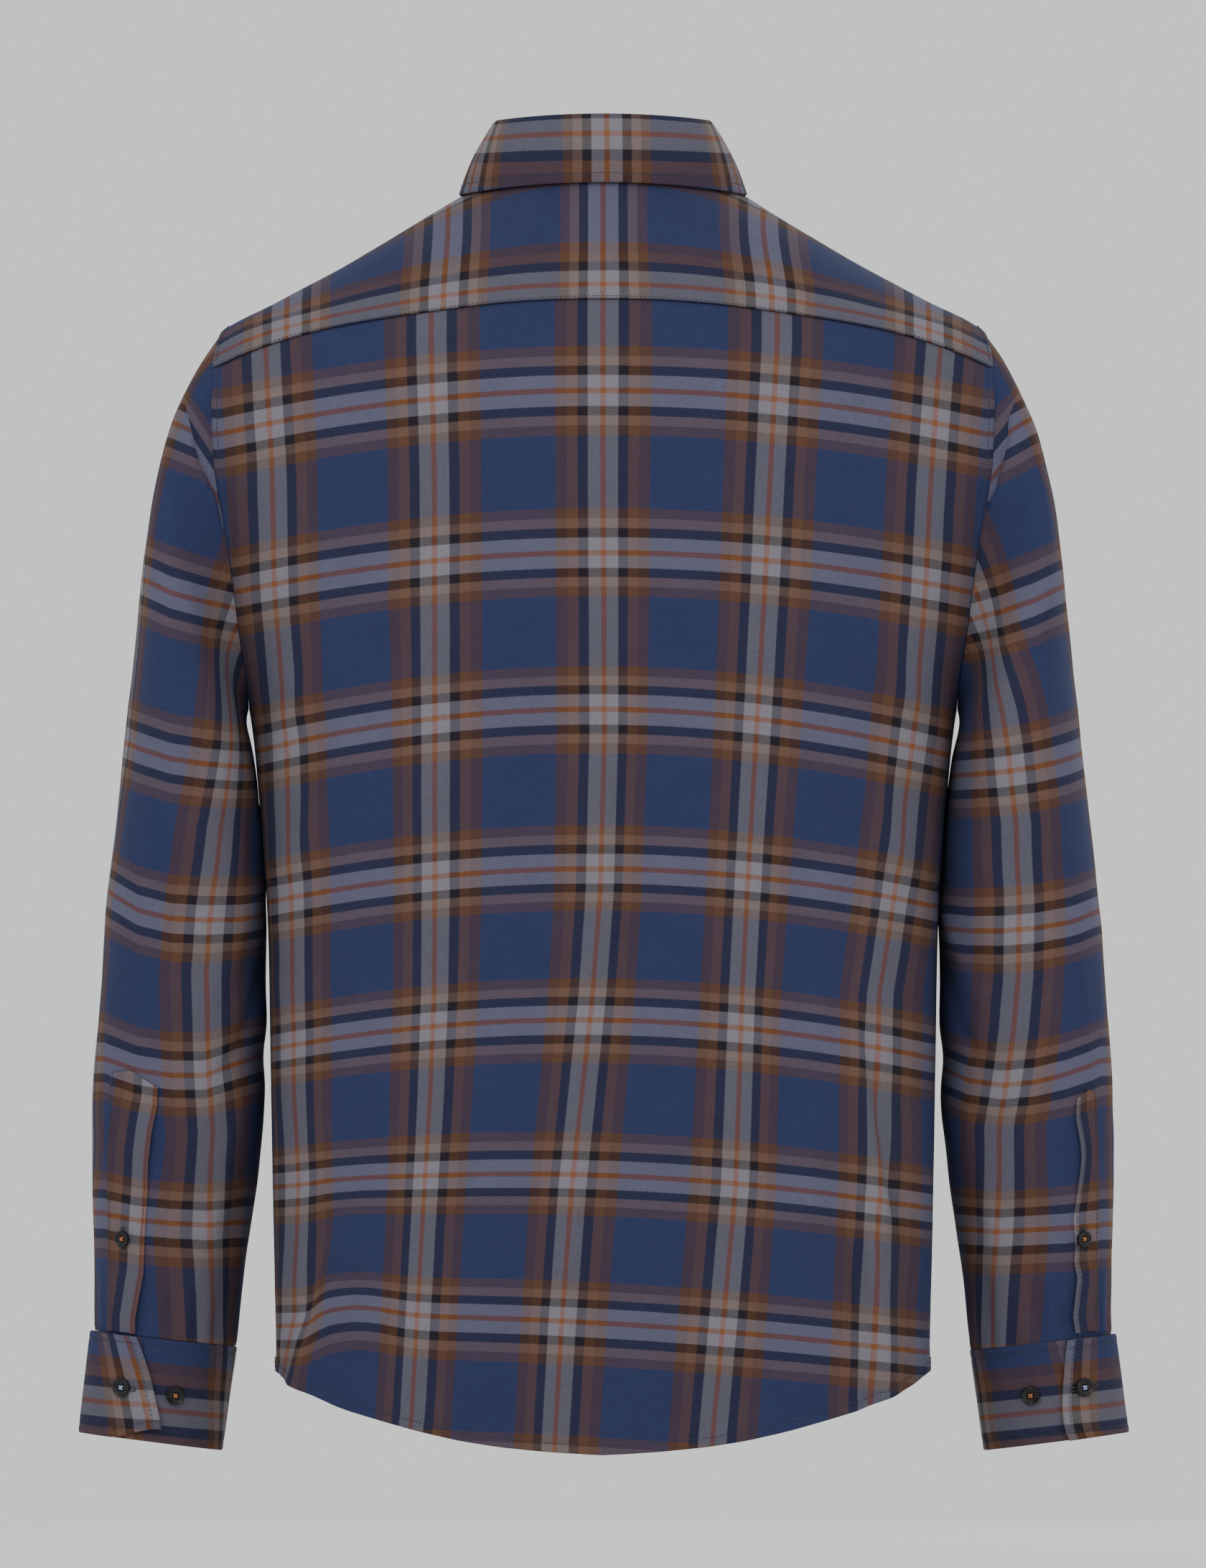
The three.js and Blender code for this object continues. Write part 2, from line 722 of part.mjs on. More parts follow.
// Front buttons, down the middle of the band
for (let i = 0; i < frontButtons.count; i += 1) {
  const z = frontButtons.first - i * frontButtons.spacing;
  let level = neckLevel;
  while (bodyPoint(-Math.PI / 2, level).z > z) level -= bodyStep.level;
  const spot = bodySpot(-Math.PI / 2, level);
  addButton("front_button_" + (i + 1), spot, buttonSizes.front, bandLift + seamGap);
}

// Collar

function ringPoint(ring, angle) {
  const c = Math.cos(angle);
  const s = Math.sin(angle);
  const backRise = (ring.zBack - ring.zSide) * s * s;
  const frontRise = (ring.zFront - ring.zSide) * Math.pow(Math.max(0, -s), ring.frontCurve);
  const depth = s > 0 ? ring.back : ring.front;
  return new THREE.Vector3(ring.halfWidth * c, depth * s, ring.zSide + (s > 0 ? backRise : frontRise));
}

function standPoint(angle, t) {
  const inset = standEnd.inset * smooth(1 + (angle - 1.5 * Math.PI) / (standEnd.blend * degree));
  const point = bodyPoint(angle, neckLevel);
  point.z += standEnd.rise;
  point.lerp(ringPoint(standTop, angle), t);
  return point.add(new THREE.Vector3(-inset * Math.cos(angle), -inset * Math.sin(angle), 0));
}

function standGrid() {
  return [0, 0.5, 1].map((t) => {
    const row = [];
    for (let turn = -90 - standEnd.past; turn <= 270 + standEnd.past; turn += collarStep) {
      row.push(withNormal(standPoint, turn * degree, t, collarTurn, 1));
    }
    return row;
  });
}

// The leaf rises from the stand's top edge, rolls over it and lies outside it
function leafGrid() {
  const rows = [];
  const up = new THREE.Vector3(0, 0, 1);
  for (let j = -2; j <= leafRows; j += 1) {
    const share = Math.max(0, j) / leafRows;
    const first = mix(leafFold.startAngle, leafFold.endAngle, share);
    const columns = (180 - 2 * leafFold.startAngle) / collarStep;
    const row = [];
    for (let i = 0; i <= columns; i += 1) {
      const angle = mix(first, 180 - first, i / columns) * degree;
      const out = new THREE.Vector3(Math.cos(angle), Math.sin(angle), 0);
      const top = ringPoint(standTop, angle);
      if (j === -2) {
        const start = top.addScaledVector(out, -standThickness).addScaledVector(up, leafFold.gap);
        row.push({ point: start, normal: out.negate() });
      } else if (j === -1) {
        row.push({ point: top.addScaledVector(up, leafFold.height), normal: up });
      } else {
        top.addScaledVector(out, leafFold.reach).addScaledVector(up, leafFold.height / 3);
        const point = top.lerp(ringPoint(leafEdge, angle), share);
        const normal = out.addScaledVector(up, leafSlope).normalize();
        point.addScaledVector(normal, leafBulge * Math.sin(Math.PI * share));
        row.push({ point, normal });
      }
    }
    rows.push(row);
  }
  return rows;
}

add("collar_stand", wall(standGrid(), standThickness), materials.trim);
add("collar_leaf", wall(leafGrid(), collarThickness), materials.trim);
const throat = withNormal(standPoint, -Math.PI / 2, collarButtonHeight, collarTurn, 1);
addButton("collar_button", throat, buttonSizes.opening, seamGap);

export default shirt;
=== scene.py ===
# A long-sleeved checked flannel shirt, seen from the back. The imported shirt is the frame, and every
# panel here is cut again on the same curves, finer, with its folds, hems, seams, stitches and weave.
import bmesh
import bpy
import numpy as np
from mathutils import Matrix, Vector


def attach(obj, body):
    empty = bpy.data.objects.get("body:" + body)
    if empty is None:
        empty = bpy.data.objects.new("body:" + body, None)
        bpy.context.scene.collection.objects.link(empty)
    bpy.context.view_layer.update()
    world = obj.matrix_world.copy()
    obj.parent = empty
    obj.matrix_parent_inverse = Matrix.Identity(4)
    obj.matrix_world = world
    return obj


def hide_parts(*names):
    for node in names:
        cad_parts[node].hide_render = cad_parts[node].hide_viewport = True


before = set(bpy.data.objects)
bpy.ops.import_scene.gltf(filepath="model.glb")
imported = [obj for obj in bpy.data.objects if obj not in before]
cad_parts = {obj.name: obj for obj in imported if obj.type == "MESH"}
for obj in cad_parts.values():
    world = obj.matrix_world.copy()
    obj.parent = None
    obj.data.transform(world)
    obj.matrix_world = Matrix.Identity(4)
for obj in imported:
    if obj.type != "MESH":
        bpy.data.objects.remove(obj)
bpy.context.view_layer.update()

mm = 0.001
degree = np.pi / 180

# Shapes shared with the CAD, in millimetres

cloth = {"thickness": 1.2, "collarThickness": 1.6, "standThickness": 2.0, "cuffThickness": 2.0}

body = {
    # halfWidth, back, front, zSide, zBack, zFront, square
    "rings": [
        (195, 116, 116, -800, -800, -800, 2.6),
        (197, 115, 116, -700, -700, -700, 2.6),
        (199, 114, 116, -610, -610, -610, 2.6),
        (200.5, 112, 115, -525, -525, -525, 2.6),
        (202, 112, 115, -450, -450, -450, 2.6),
        (206.3, 115, 116, -385, -385, -385, 2.6),
        (213.2, 118, 117, -320, -320, -320, 2.5),
        (227.2, 121, 116, -270, -270, -270, 2.4),
        (238, 122, 113, -220, -220, -220, 2.35),
        (246.5, 120.5, 107, -170, -172, -172, 2.3),
        (243.5, 117, 99.5, -125, -128, -135, 2.3),
        (229.7, 111, 92, -93, -98, -112, 2.25),
        (196, 105, 88, -74.3, -76, -98, 2.2),
        (164, 98, 86, -57, -58, -88, 2.15),
        (135, 89.5, 84, -40.5, -41, -79, 2.1),
        (104, 77, 82, -22, -21, -71, 2.05),
        (71, 60, 80, -2, 0, -64, 2),
    ],
    "underarm": 6, "yokeCorner": 10.3, "shoulder": 11, "neck": 16,
    "armholeAngle": 20 * degree, "armholeRoundness": 2.2,
    "yokeSeamRise": 1.84, "yokeSeamCurve": 1.4, "yokeFrontAngle": -26 * degree,
    "hemSide": -716, "hemBack": -767.7, "hemFront": -744, "hemCurve": 1.91,
    # the back's hem as it is seen: half width and height
    "hemOutline": [(0, -767.6), (32, -765.8), (62, -762.8), (86, -759), (110, -753.6), (133, -747.2),
                   (157, -740), (169, -734.6), (185, -727), (191, -722.6), (195, -717.5), (200, -716)],
    # half the width of the button band, which is where the fronts lap over each other
    "halfBand": 16.0,
    # soft folds of the CAD: angle low and high, height low and high, width, height
    "folds": [
        (24, 30, -780, -600, 5, 4),
        (66, 80, -790, -480, 5, 3.5),
        (100, 92, -790, -560, 6, -3),
        (146, 138, -780, -470, 6, 4.5),
        (158, 150, -780, -500, 5, -3.5),
        (-38, -48, -780, -430, 7, 4),
        (-140, -134, -780, -470, 6, 4),
    ],
}

sleeve = {
    # outer, inner, zOuter, zInner, halfDepth, y, square
    "rings": [
        (287.7, 210, -335, -352, 76, -8, 2.5),
        (293.3, 205, -385, -395, 71, -12, 2.5),
        (299, 202.5, -440, -442, 66, -16, 2.5),
        (304, 202, -500, -503, 60.5, -19, 2.5),
        (307.4, 203.6, -550, -553, 56, -21, 2.4),
        (308.2, 208.6, -600, -606, 51.5, -24, 2.3),
        (306.8, 216.6, -650, -658, 46.5, -27, 2.1),
        (306.2, 221.6, -694, -703.5, 42, -30, 2),
    ],
    # angle, level, angle reach, level reach, height
    "folds": [
        (150, 2.6, 34, 0.35, -3),
        (160, 3.5, 36, 0.3, -3.5),
        (128, 4.2, 30, 0.35, 2),
        (40, 2, 26, 0.5, 2),
        (100, 6.1, 16, 0.8, -2),
    ],
    "clearance": 0.8, "reach": {"left": 7, "right": 7.16}, "columns": 132,
    "capReach": (0.3, 0.5),
    "leave": {"shoulder": (0.6, 0, -0.8), "side": (0.8, 0.25, -0.5), "underarm": (0.32, 0, -0.95)},
    "band": {
        "lift": 1.7, "outer": (43, 38, 3.72, 6.94),
        # how far the top is cut down from the outer corner to the free one, and the free edge: level, angle
        "left": {"top": (0.04, 0.0, 0.2),
                 "edge": [(3.72, 79.5), (4.14, 79.7), (4.47, 76.9), (4.8, 75.2), (5.13, 74.9), (5.46, 73.7),
                          (5.8, 72.6), (6.13, 72.4), (6.5, 68.2), (6.7, 66), (6.94, 66)]},
        "right": {"top": (0.3, 0.22, 0.34),
                  "edge": [(4.0, 59.5), (4.3, 61.6), (4.6, 58.6), (4.77, 57.8), (5.1, 60), (5.5, 63.4),
                           (5.75, 61.2), (6.02, 62.6), (6.2, 60), (6.45, 62.6), (6.66, 64.4), (6.94, 62)]},
    },
}

cuff = {
    "rings": [
        (307, 220.8, -694.4, -703.9, 42.8, -30, 2),
        (311, 224.9, -724, -733, 39.5, -32, 2),
        (315.3, 229.4, -755.6, -766.5, 38.5, -34, 2),
    ],
    # where the cuff starts, the end of its top layer as share of the way down and angle, and how far
    # that layer's corner stands up and away, and over how many degrees
    "left": {"from": 0.0, "edge": [(0, 67.3), (0.22, 75.6), (0.4, 83), (0.6, 88.8), (0.8, 95), (1, 98)],
             "corner": (9, 3, 42)},
    "right": {"from": 0.056, "edge": [(0, 70), (0.27, 75), (0.62, 81), (0.8, 82), (1, 79)],
              "corner": (0, 1.5, 30)},
    "under": 40, "lift": 2.6, "hold": 60, "fade": 70,
}

collar = {
    # halfWidth, back, front, zSide, zBack, zFront, frontCurve
    "standTop": (64, 58, 68, 30, 33.5, -32, 2),
    "leafEdge": (87, 66, 109, -9.4, -2.8, -132, 2.6),
    "past": 10, "inset": 2.6, "blend": 40, "rise": 0.8,
    "startAngle": -80, "endAngle": -60, "gap": 0.5, "height": 5.2, "reach": 3.4, "bulge": 4, "slope": 0.45,
    "sideBulge": 0.45, "standColumns": 130, "foldRows": 8,
}

buttons = {
    "radius": {"front": 5.7, "cuff": 5.7, "small": 5.0},
    "height": 2.6, "sides": 64, "hole": 0.1625, "holeReach": 0.27, "holeDepth": 1.3, "dish": 0.72,
    "first": -122, "spacing": 88, "count": 7,
    # angle and level, and whether the button is on the top layer
    "cuff": {"fastened": (62, 1.05, True), "spare": (104, 1.1, False)},
    "band": (56, 5.72), "collarHeight": 0.45,
    # how long the thread ring of each kind of buttonhole is
    "holeLength": {"front": 15, "cuff": 17, "small": 14},
    "threadRadius": 0.2, "strandSpacing": 0.224, "neckRadius": 1.5,
}

# how far from its edge each line of stitches lies
sewing = {
    "hem": 5.6, "fell": 5.7, "yoke": 1.6, "band": 6.2, "sleeveBand": 2.0, "cuff": 5, "stand": 3, "leaf": 6,
    "armholeFrom": -222,
}

# The check: how it lies on each panel. Stripes repeat along the width and bands along the length.
check = {
    "warpRepeat": 101.5, "weftRepeat": 97.5,
    # height, then the light stripes' middles across the back, from the wearer's left to the right
    "backStripes": [
        (-100, 203.0, 103.2, 0.0, -104.7, -203.0),
        (-180, 198.9, 101.3, 0.0, -100.4, -197.2),
        (-250, 197.5, 101.2, -0.5, -97.0, -193.8),
        (-335, 190.4, 101.0, -1.0, -92.0, -186.4),
        (-430, 187.3, 101.0, 1.5, -86.5, -175.2),
        (-490, 186.9, 101.5, 6.0, -83.5, -166.0),
        (-553, 185.6, 104.0, 13.0, -81.5, -165.2),
        (-606, 182.7, 107.4, 18.8, -79.6, -165.4),
        (-690, 186.6, 112.0, 25.0, -72.0, -163.0),
        (-760, 190.0, 116.0, 29.0, -65.5, -160.5),
    ],
    # height of each band's middle at the centre, its tilt, and its sag 200 mm out
    "backBands": [
        (70, 0, 18), (-30.8, 0, 19), (-128.3, 0, 19.5), (-225.9, 0, 19), (-319.7, 1.3, 24.5),
        (-415.6, 1.4, 21.3), (-506.3, 2.9, 20.9), (-599.6, 7, 14), (-688.2, 11.5, 7.5), (-783, 12, 5),
    ],
}


def along(rows, level):
    # every column of a table at levels between its rows, on a smooth curve
    rows = np.asarray(rows, float)
    last = len(rows) - 1
    level = np.asarray(level, float)
    i = np.clip(np.floor(level).astype(int), 0, last - 1)
    t = (level - i)[..., None]
    a, b, c, d = (rows[np.clip(i + k, 0, last)] for k in (-1, 0, 1, 2))
    found = 0.5 * (2 * b + (c - a) * t + (2 * a - 5 * b + 4 * c - d) * t * t
                   + (3 * b - a - 3 * c + d) * t ** 3)
    return np.moveaxis(found, -1, 0)


def mix(a, b, t):
    return a + (b - a) * t


def smooth(t):
    t = np.clip(t, 0, 1)
    return t * t * (3 - 2 * t)


def bell(distance, reach):
    return np.exp(-(distance / reach) ** 2)


def signedPower(value, power):
    return np.sign(value) * np.abs(value) ** power


def turned(angle, middle):
    # the shortest way round from middle to angle, in degrees
    return (angle - middle + 180) % 360 - 180


upright = np.array([0, 0, 1.0])


def unit(v):
    return v / np.maximum(np.linalg.norm(v, axis=-1, keepdims=True), 1e-9)


# Surface of the body

def bodyPoint(angle, level):
    angle, level = np.broadcast_arrays(angle, level)
    w, back, front, zSide, zBack, zFront, square = along(body["rings"], level)
    c, s = np.cos(angle), np.sin(angle)
    z = zSide + (np.where(s > 0, zBack, zFront) - zSide) * s * s
    fold = 0
    for angleLow, angleHigh, zLow, zHigh, width, height in body["folds"]:
        t = (z - zLow) / (zHigh - zLow)
        away = turned(angle / degree, mix(angleLow, angleHigh, t))
        fold = fold + height * bell(away, width) * smooth(1.2 - t)
    x = w * signedPower(c, 2 / square) + fold * c
    y = np.where(s > 0, back, front) * signedPower(s, 2 / square) + fold * s
    return np.stack([x, y, z], -1)


levelSamples = np.linspace(0, body["underarm"], 1201)
levelHeights = along(body["rings"], levelSamples)[3]


def levelOfHeight(z):
    return np.interp(z, levelHeights, levelSamples)


# the hem's outline, smoothed
hemRun = np.arange(0, 240.0)
hemSeen = np.interp(hemRun, *np.array(body["hemOutline"]).T)
hemSeen = np.convolve(np.pad(hemSeen, 6, mode="edge"), np.ones(13) / 13, "valid")


def hemLevel(angle):
    middle = np.where(np.sin(angle) > 0, body["hemBack"], body["hemFront"])
    height = mix(middle, body["hemSide"], np.abs(np.cos(angle)) ** body["hemCurve"])
    seen = np.interp(np.abs(bodyPoint(angle, levelOfHeight(height))[..., 0]), hemRun, hemSeen)
    return levelOfHeight(np.where(np.sin(angle) > 0.001, seen, height))


def armholeEdge(level):
    half = (body["shoulder"] - body["underarm"]) / 2
    away = np.abs(level - body["underarm"] - half) / half
    return body["armholeAngle"] * np.sqrt(np.maximum(0, 1 - away ** body["armholeRoundness"]))


def armholeTop(angle):
    half = (body["shoulder"] - body["underarm"]) / 2
    share = np.minimum(1, np.abs(angle) / body["armholeAngle"])
    return body["underarm"] + half + half * (1 - share ** 2) ** (1 / body["armholeRoundness"])


cornerAngle = armholeEdge(body["yokeCorner"])


def sideAngle(level):
    edge = armholeEdge(np.minimum(level, body["yokeCorner"]))
    return np.where(level > body["underarm"], edge, 0)


def yokeSeam(u):
    share = np.sin((np.pi / 2) * (1 - np.abs(u)))
    return body["yokeCorner"] + body["yokeSeamRise"] * share ** body["yokeSeamCurve"]


def yokeFront(level):
    t = (level - body["yokeCorner"]) / (body["neck"] - body["yokeCorner"])
    return mix(-cornerAngle, body["yokeFrontAngle"], t)


def angleOfX(x, level):
    w, square = along(body["rings"], level)[[0, 6]]
    share = np.minimum(1, np.abs(x) / w)
    return -np.pi / 2 + np.sign(x) * np.arcsin(share ** (square / 2))


gridSizes = {
    # each panel's length where its grid is laid, and the step between points
    "backLow": (545, 4.0), "backHigh": (150, 4.0), "backAcross": (560, 3.4),
    "frontLow": (522, 4.4), "frontMiddle": (150, 4.4), "frontTop": (130, 4.2), "frontAcross": (250, 4.4),
    "yokeEnd": (75, 4.2), "yokeAcross": (480, 4.4), "yokeDown": (120, 3.4), "buttonBand": (32, 2.6),
    "sleeveCap": (230, 4.4), "sleeveDown": (352, 4.2), "cuffDown": (62, 4), "cuffAcross": (270, 3.2),
    "sleeveBandDown": (163, 3.2), "sleeveBandAcross": (27, 2.6),
    "standDown": (38, 4), "leafAcross": (295, 3.2), "leafDown": (62, 3.6),
}


def spaced(name, start=True, end=True):
    # shares of a length, close together where a hem or a seam is sewn at either end
    length, step = gridSizes[name]
    near = np.array([0, 0.7, 1.5, 2.8, 4.0, 4.8, 5.4, 5.9, 6.4, 7.2, 8.6, 11])
    first = near if start else np.array([0.0])
    final = length - (near[::-1] if end else np.array([0.0]))
    count = max(2, int(round((final[0] - first[-1]) / step)))
    middle = np.linspace(first[-1], final[0], count + 1)[1:-1]
    return np.concatenate([first, middle, final]) / length


# Panels as grids of points, one row after another

def backGrid():
    low, high = spaced("backLow", end=False), spaced("backHigh", start=False)
    u = -1 + 2 * spaced("backAcross")
    hemAt = hemLevel(np.pi / 2 + u * np.pi / 2)
    levels = np.concatenate([mix(hemAt, body["underarm"], low[:-1, None]),
                             mix(body["underarm"], yokeSeam(u), high[:, None])])
    return bodyPoint(np.pi / 2 + u * (np.pi / 2 - sideAngle(levels)), levels)


def frontGrid():
    low, middle = spaced("frontLow", end=False), spaced("frontMiddle", start=False, end=False)
    top = spaced("frontTop", start=False)
    levels = np.concatenate([low[:-1] * 0, mix(body["underarm"], body["yokeCorner"], middle[:-1]),
                             mix(body["yokeCorner"], body["neck"], top)])[:, None]
    across = spaced("frontAcross")
    past = np.linspace(0, 2, 12)[1:]

    def place(at):
        upper = np.where(at < body["yokeCorner"], -armholeEdge(at), yokeFront(at))
        side = np.where(at <= body["underarm"], 0, upper)
        main = mix(side, angleOfX(body["halfBand"], at), across)
        rest = angleOfX(body["halfBand"] * (1 - past), at)
        return np.concatenate([main, np.broadcast_to(rest, (len(at), len(past)))], 1)

    count = len(low) - 1
    hemAt = hemLevel(place(np.full((1, 1), 1.0))[0])
    lowLevels = mix(hemAt, body["underarm"], low[:-1, None])
    width = len(across) + len(past)
    levels = np.concatenate([lowLevels, np.broadcast_to(levels[count:], (len(levels) - count, width))])
    angles = np.stack([place(levels[:, i:i + 1])[:, i] for i in range(width)], 1)
    return bodyPoint(angles, levels)


def yokeGrid():
    end = spaced("yokeEnd", end=False)
    ends = mix(-cornerAngle, cornerAngle, end[:-1])
    u = -1 + 2 * spaced("yokeAcross")
    angle = np.concatenate([ends, np.pi / 2 + u * (np.pi / 2 - cornerAngle), np.pi - ends[::-1]])
    tops = np.concatenate([[body["yokeCorner"]], armholeTop(ends[1:])])
    level = np.concatenate([tops, yokeSeam(u), tops[::-1]])
    t = spaced("yokeDown")[:, None]
    share = np.linspace(0, 1, len(angle))
    neckAngle = mix(body["yokeFrontAngle"], np.pi - body["yokeFrontAngle"], share)
    return bodyPoint(mix(angle, neckAngle, t), mix(level, body["neck"], t))


# Sleeves

def clearOfBody(p):
    w, front, square = along(body["rings"], levelOfHeight(p[..., 2]))[[0, 2, 6]]
    depth = np.clip(-p[..., 1] / front, 0, 1)
    limit = w * (1 - depth ** square) ** (1 / square) + sleeve["clearance"]
    p[..., 0] = np.maximum(p[..., 0], limit)
    return p


def tubePoint(rings, angle, level):
    angle, level = np.broadcast_arrays(angle, level)
    outer, inner, zOuter, zInner, halfDepth, y, square = along(rings, level)
    half = (outer - inner) / 2
    c, s = np.cos(angle), np.sin(angle)
    fold = 0
    if rings is sleeve["rings"]:
        for foldAngle, foldLevel, angleReach, levelReach, height in sleeve["folds"]:
            near = bell(turned(angle / degree, foldAngle), angleReach) * bell(level - foldLevel, levelReach)
            fold = fold + height * near
    return clearOfBody(np.stack([
        inner + half + half * signedPower(c, 2 / square) + fold * c,
        y + halfDepth * signedPower(s, 2 / square) + fold * s,
        mix(zInner, zOuter, (1 + c) / 2),
    ], -1))


def armholeLoop(angles):
    # the armhole's edge and the way the body faces there, at angles round the sleeve: 0 at the
    # shoulder, half a turn under the arm, the back first
    over = np.linspace(0, cornerAngle, 40)
    down = np.linspace(body["yokeCorner"], body["underarm"], 160)
    theta = np.concatenate([over[:-1], armholeEdge(down), -armholeEdge(down[::-1])[1:], -over[::-1][1:]])
    level = np.concatenate([armholeTop(over[:-1]), down, down[::-1][1:], armholeTop(over[::-1][1:])])
    points = bodyPoint(theta, level)
    across = bodyPoint(theta + 0.004, level) - bodyPoint(theta - 0.004, level)
    upwards = bodyPoint(theta, level + 0.01) - bodyPoint(theta, level - 0.01)
    normals = unit(np.cross(across, upwards))
    run = np.concatenate([[0], np.cumsum(np.linalg.norm(np.diff(points, axis=0), axis=1))])
    lowest = int(np.argmin(points[:, 2]))
    behind = np.pi * run / run[lowest]
    before = np.pi + np.pi * (run - run[lowest]) / (run[-1] - run[lowest])
    known = np.where(np.arange(len(run)) <= lowest, behind, before)

    def atAngles(values):
        return np.stack([np.interp(angles, known, values[:, k]) for k in range(3)], -1)

    return atAngles(points), atAngles(normals)


def sleeveGrid(side):
    angles = 2 * np.pi * np.arange(sleeve["columns"]) / sleeve["columns"]
    start, normal = armholeLoop(angles)
    low = ((1 - np.cos(angles)) / 2)[:, None]
    start = start + normal * 0.3 * low
    end = tubePoint(sleeve["rings"], angles, 0)
    chord = np.linalg.norm(end - start, axis=1, keepdims=True)
    down = unit(tubePoint(sleeve["rings"], angles, 0.05) - end)
    leave = sleeve["leave"]
    out = np.where(low < 0.5, np.array(leave["shoulder"]), np.array(leave["underarm"]))
    out = mix(out, np.array(leave["side"]), np.sin(angles)[:, None] ** 2)
    out[:, 1] *= np.sign(np.sin(angles))
    out = unit(out)
    first, second = sleeve["capReach"]
    a, b, c, d = start, start + out * first * chord, end - down * second * chord, end
    t = spaced("sleeveCap", end=False)[:-1, None, None]
    cap = a * (1 - t) ** 3 + 3 * b * t * (1 - t) ** 2 + 3 * c * t * t * (1 - t) + d * t ** 3
    levels = sleeve["reach"][side] * spaced("sleeveDown", start=False)[:, None]
    return np.concatenate([cap, tubePoint(sleeve["rings"], angles[None], levels)])


def cuffLift(travelled):
    return cuff["lift"] * (1 - smooth((travelled - cuff["hold"]) / cuff["fade"]))


def cuffGrid(side):
    look = cuff[side]
    t = spaced("cuffDown")[:, None]
    edge = np.array(look["edge"])
    start = np.interp(t, edge[:, 0], edge[:, 1])
    angle = mix(start, cuff["under"] - 360, spaced("cuffAcross")[None])
    points = tubePoint(cuff["rings"], angle * degree, 2 * mix(look["from"], 1, t))
    # the lower corner of the top layer stands up and away a little
    up, away, reach = look["corner"]
    corner = (1 - smooth((start - angle) / reach)) * t ** 2.5
    out = cuffLift(start - angle) + away * corner
    points = points + gridNormals(points, tubeMiddle(points)) * out[..., None]
    return points + upright * (up * corner)[..., None]


def openingGrid(side):
    look = sleeve["band"][side]
    outer0, outer1, level0, level1 = sleeve["band"]["outer"]
    down = spaced("sleeveBandDown")[:, None]
    across = spaced("sleeveBandAcross")[None]
    levels = mix(level0 + np.interp(across, (0, 0.5, 1), look["top"]), level1, down)
    edge = np.array(look["edge"])
    angle = mix(mix(outer0, outer1, down), np.interp(levels, edge[:, 0], edge[:, 1]), across)
    return tubePoint(sleeve["rings"], angle * degree, levels)


# Collar

def ringPoint(ring, angle):
    w, back, front, zSide, zBack, zFront, curve = ring
    c, s = np.cos(angle), np.sin(angle)
    rise = np.where(s > 0, (zBack - zSide) * s * s, (zFront - zSide) * np.maximum(0, -s) ** curve)
    return np.stack([w * c, np.where(s > 0, back, front) * s, zSide + rise + 0 * s], -1)


def standPoint(angle, share):
    low = bodyPoint(angle, body["neck"] + 0 * angle) + upright * collar["rise"]
    return mix(low, ringPoint(collar["standTop"], angle), share)


def outwards(angle):
    return np.stack([np.cos(angle), np.sin(angle), 0 * angle], -1)


def standGrid():
    past = collar["past"]
    angle = np.linspace(-90 - past, 270 + past, collar["standColumns"])[None] * degree
    inset = collar["inset"] * smooth(1 + (angle - 1.5 * np.pi) / (collar["blend"] * degree))
    return standPoint(angle, spaced("standDown")[:, None, None]) - inset[..., None] * outwards(angle)


def leafGrid():
    # the CAD's rows, from the stand's edge over the fold and down, drawn through with a smooth curve
    rows = []
    across = spaced("leafAcross")
    for j in range(-2, 6):
        share = max(0, j) / 5
        first = mix(collar["startAngle"], collar["endAngle"], share)
        angle = mix(first, 180 - first, across) * degree
        out = outwards(angle)
        top = ringPoint(collar["standTop"], angle)
        if j == -2:
            rows.append(top - out * cloth["standThickness"] + upright * collar["gap"])
        elif j == -1:
            rows.append(top + upright * collar["height"])
        else:
            top = top + out * collar["reach"] + upright * collar["height"] / 3
            normal = unit(out + upright * collar["slope"])
            edge = ringPoint(collar["leafEdge"], angle)
            bulge = collar["bulge"] * mix(collar["sideBulge"], 1, np.sin(angle) ** 2)[:, None]
            rows.append(mix(top, edge, share) + normal * bulge * np.sin(np.pi * share))
    rows = np.array(rows)
    fold = np.linspace(0, 2, collar["foldRows"] + 1)[:-1]
    levels = np.concatenate([fold, 2 + 5 * spaced("leafDown", start=False)])
    flat = rows.reshape(len(rows), -1)
    return np.moveaxis(along(flat, levels), 0, -1).reshape(len(levels), -1, 3)


# Grids into cloth

def tubeMiddle(points):
    return points.mean(1, keepdims=True)


def gridNormals(points, away, closed=False):
    # the way each point faces, which is away from the given middle
    wide = np.concatenate([points[:, -1:], points, points[:, :1]], 1) if closed else points
    across = (wide[:, 2:] - wide[:, :-2]) if closed else np.gradient(points, axis=1)
    normal = unit(np.cross(across, np.gradient(points, axis=0)))
    facing = np.sign(np.sum(normal * (points - away), axis=-1, keepdims=True).sum())
    return normal * facing


def lengths(points, axis):
    steps = np.linalg.norm(np.diff(points, axis=axis), axis=-1)
    pad = [(0, 0), (0, 0)]
    pad[axis] = (1, 0)
    return np.cumsum(np.pad(steps, pad), axis=axis)


def fromMiddle(points):
    run = lengths(points, 1)
    middle = points.shape[1] // 2
    return run - run[:, middle:middle + 1]


def edgeDistances(points):
    down, across = lengths(points, 0), lengths(points, 1)
    return {"bottom": down, "top": down[-1:] - down, "start": across, "end": across[:, -1:] - across}


def ripple(a, b, seed):
    # a soft, uneven waviness of a surface, about 1 mm high at most
    made = np.random.default_rng(seed)
    total = 0
    for wide in (90, 60, 42, 30):
        for k in range(3):
            turn, phase = made.uniform(0, np.pi), made.uniform(0, 2 * np.pi)
            run = a * np.cos(turn) + b * np.sin(turn)
            total = total + wide / 90 * np.sin(2 * np.pi * run / wide + phase)
    return total / 6


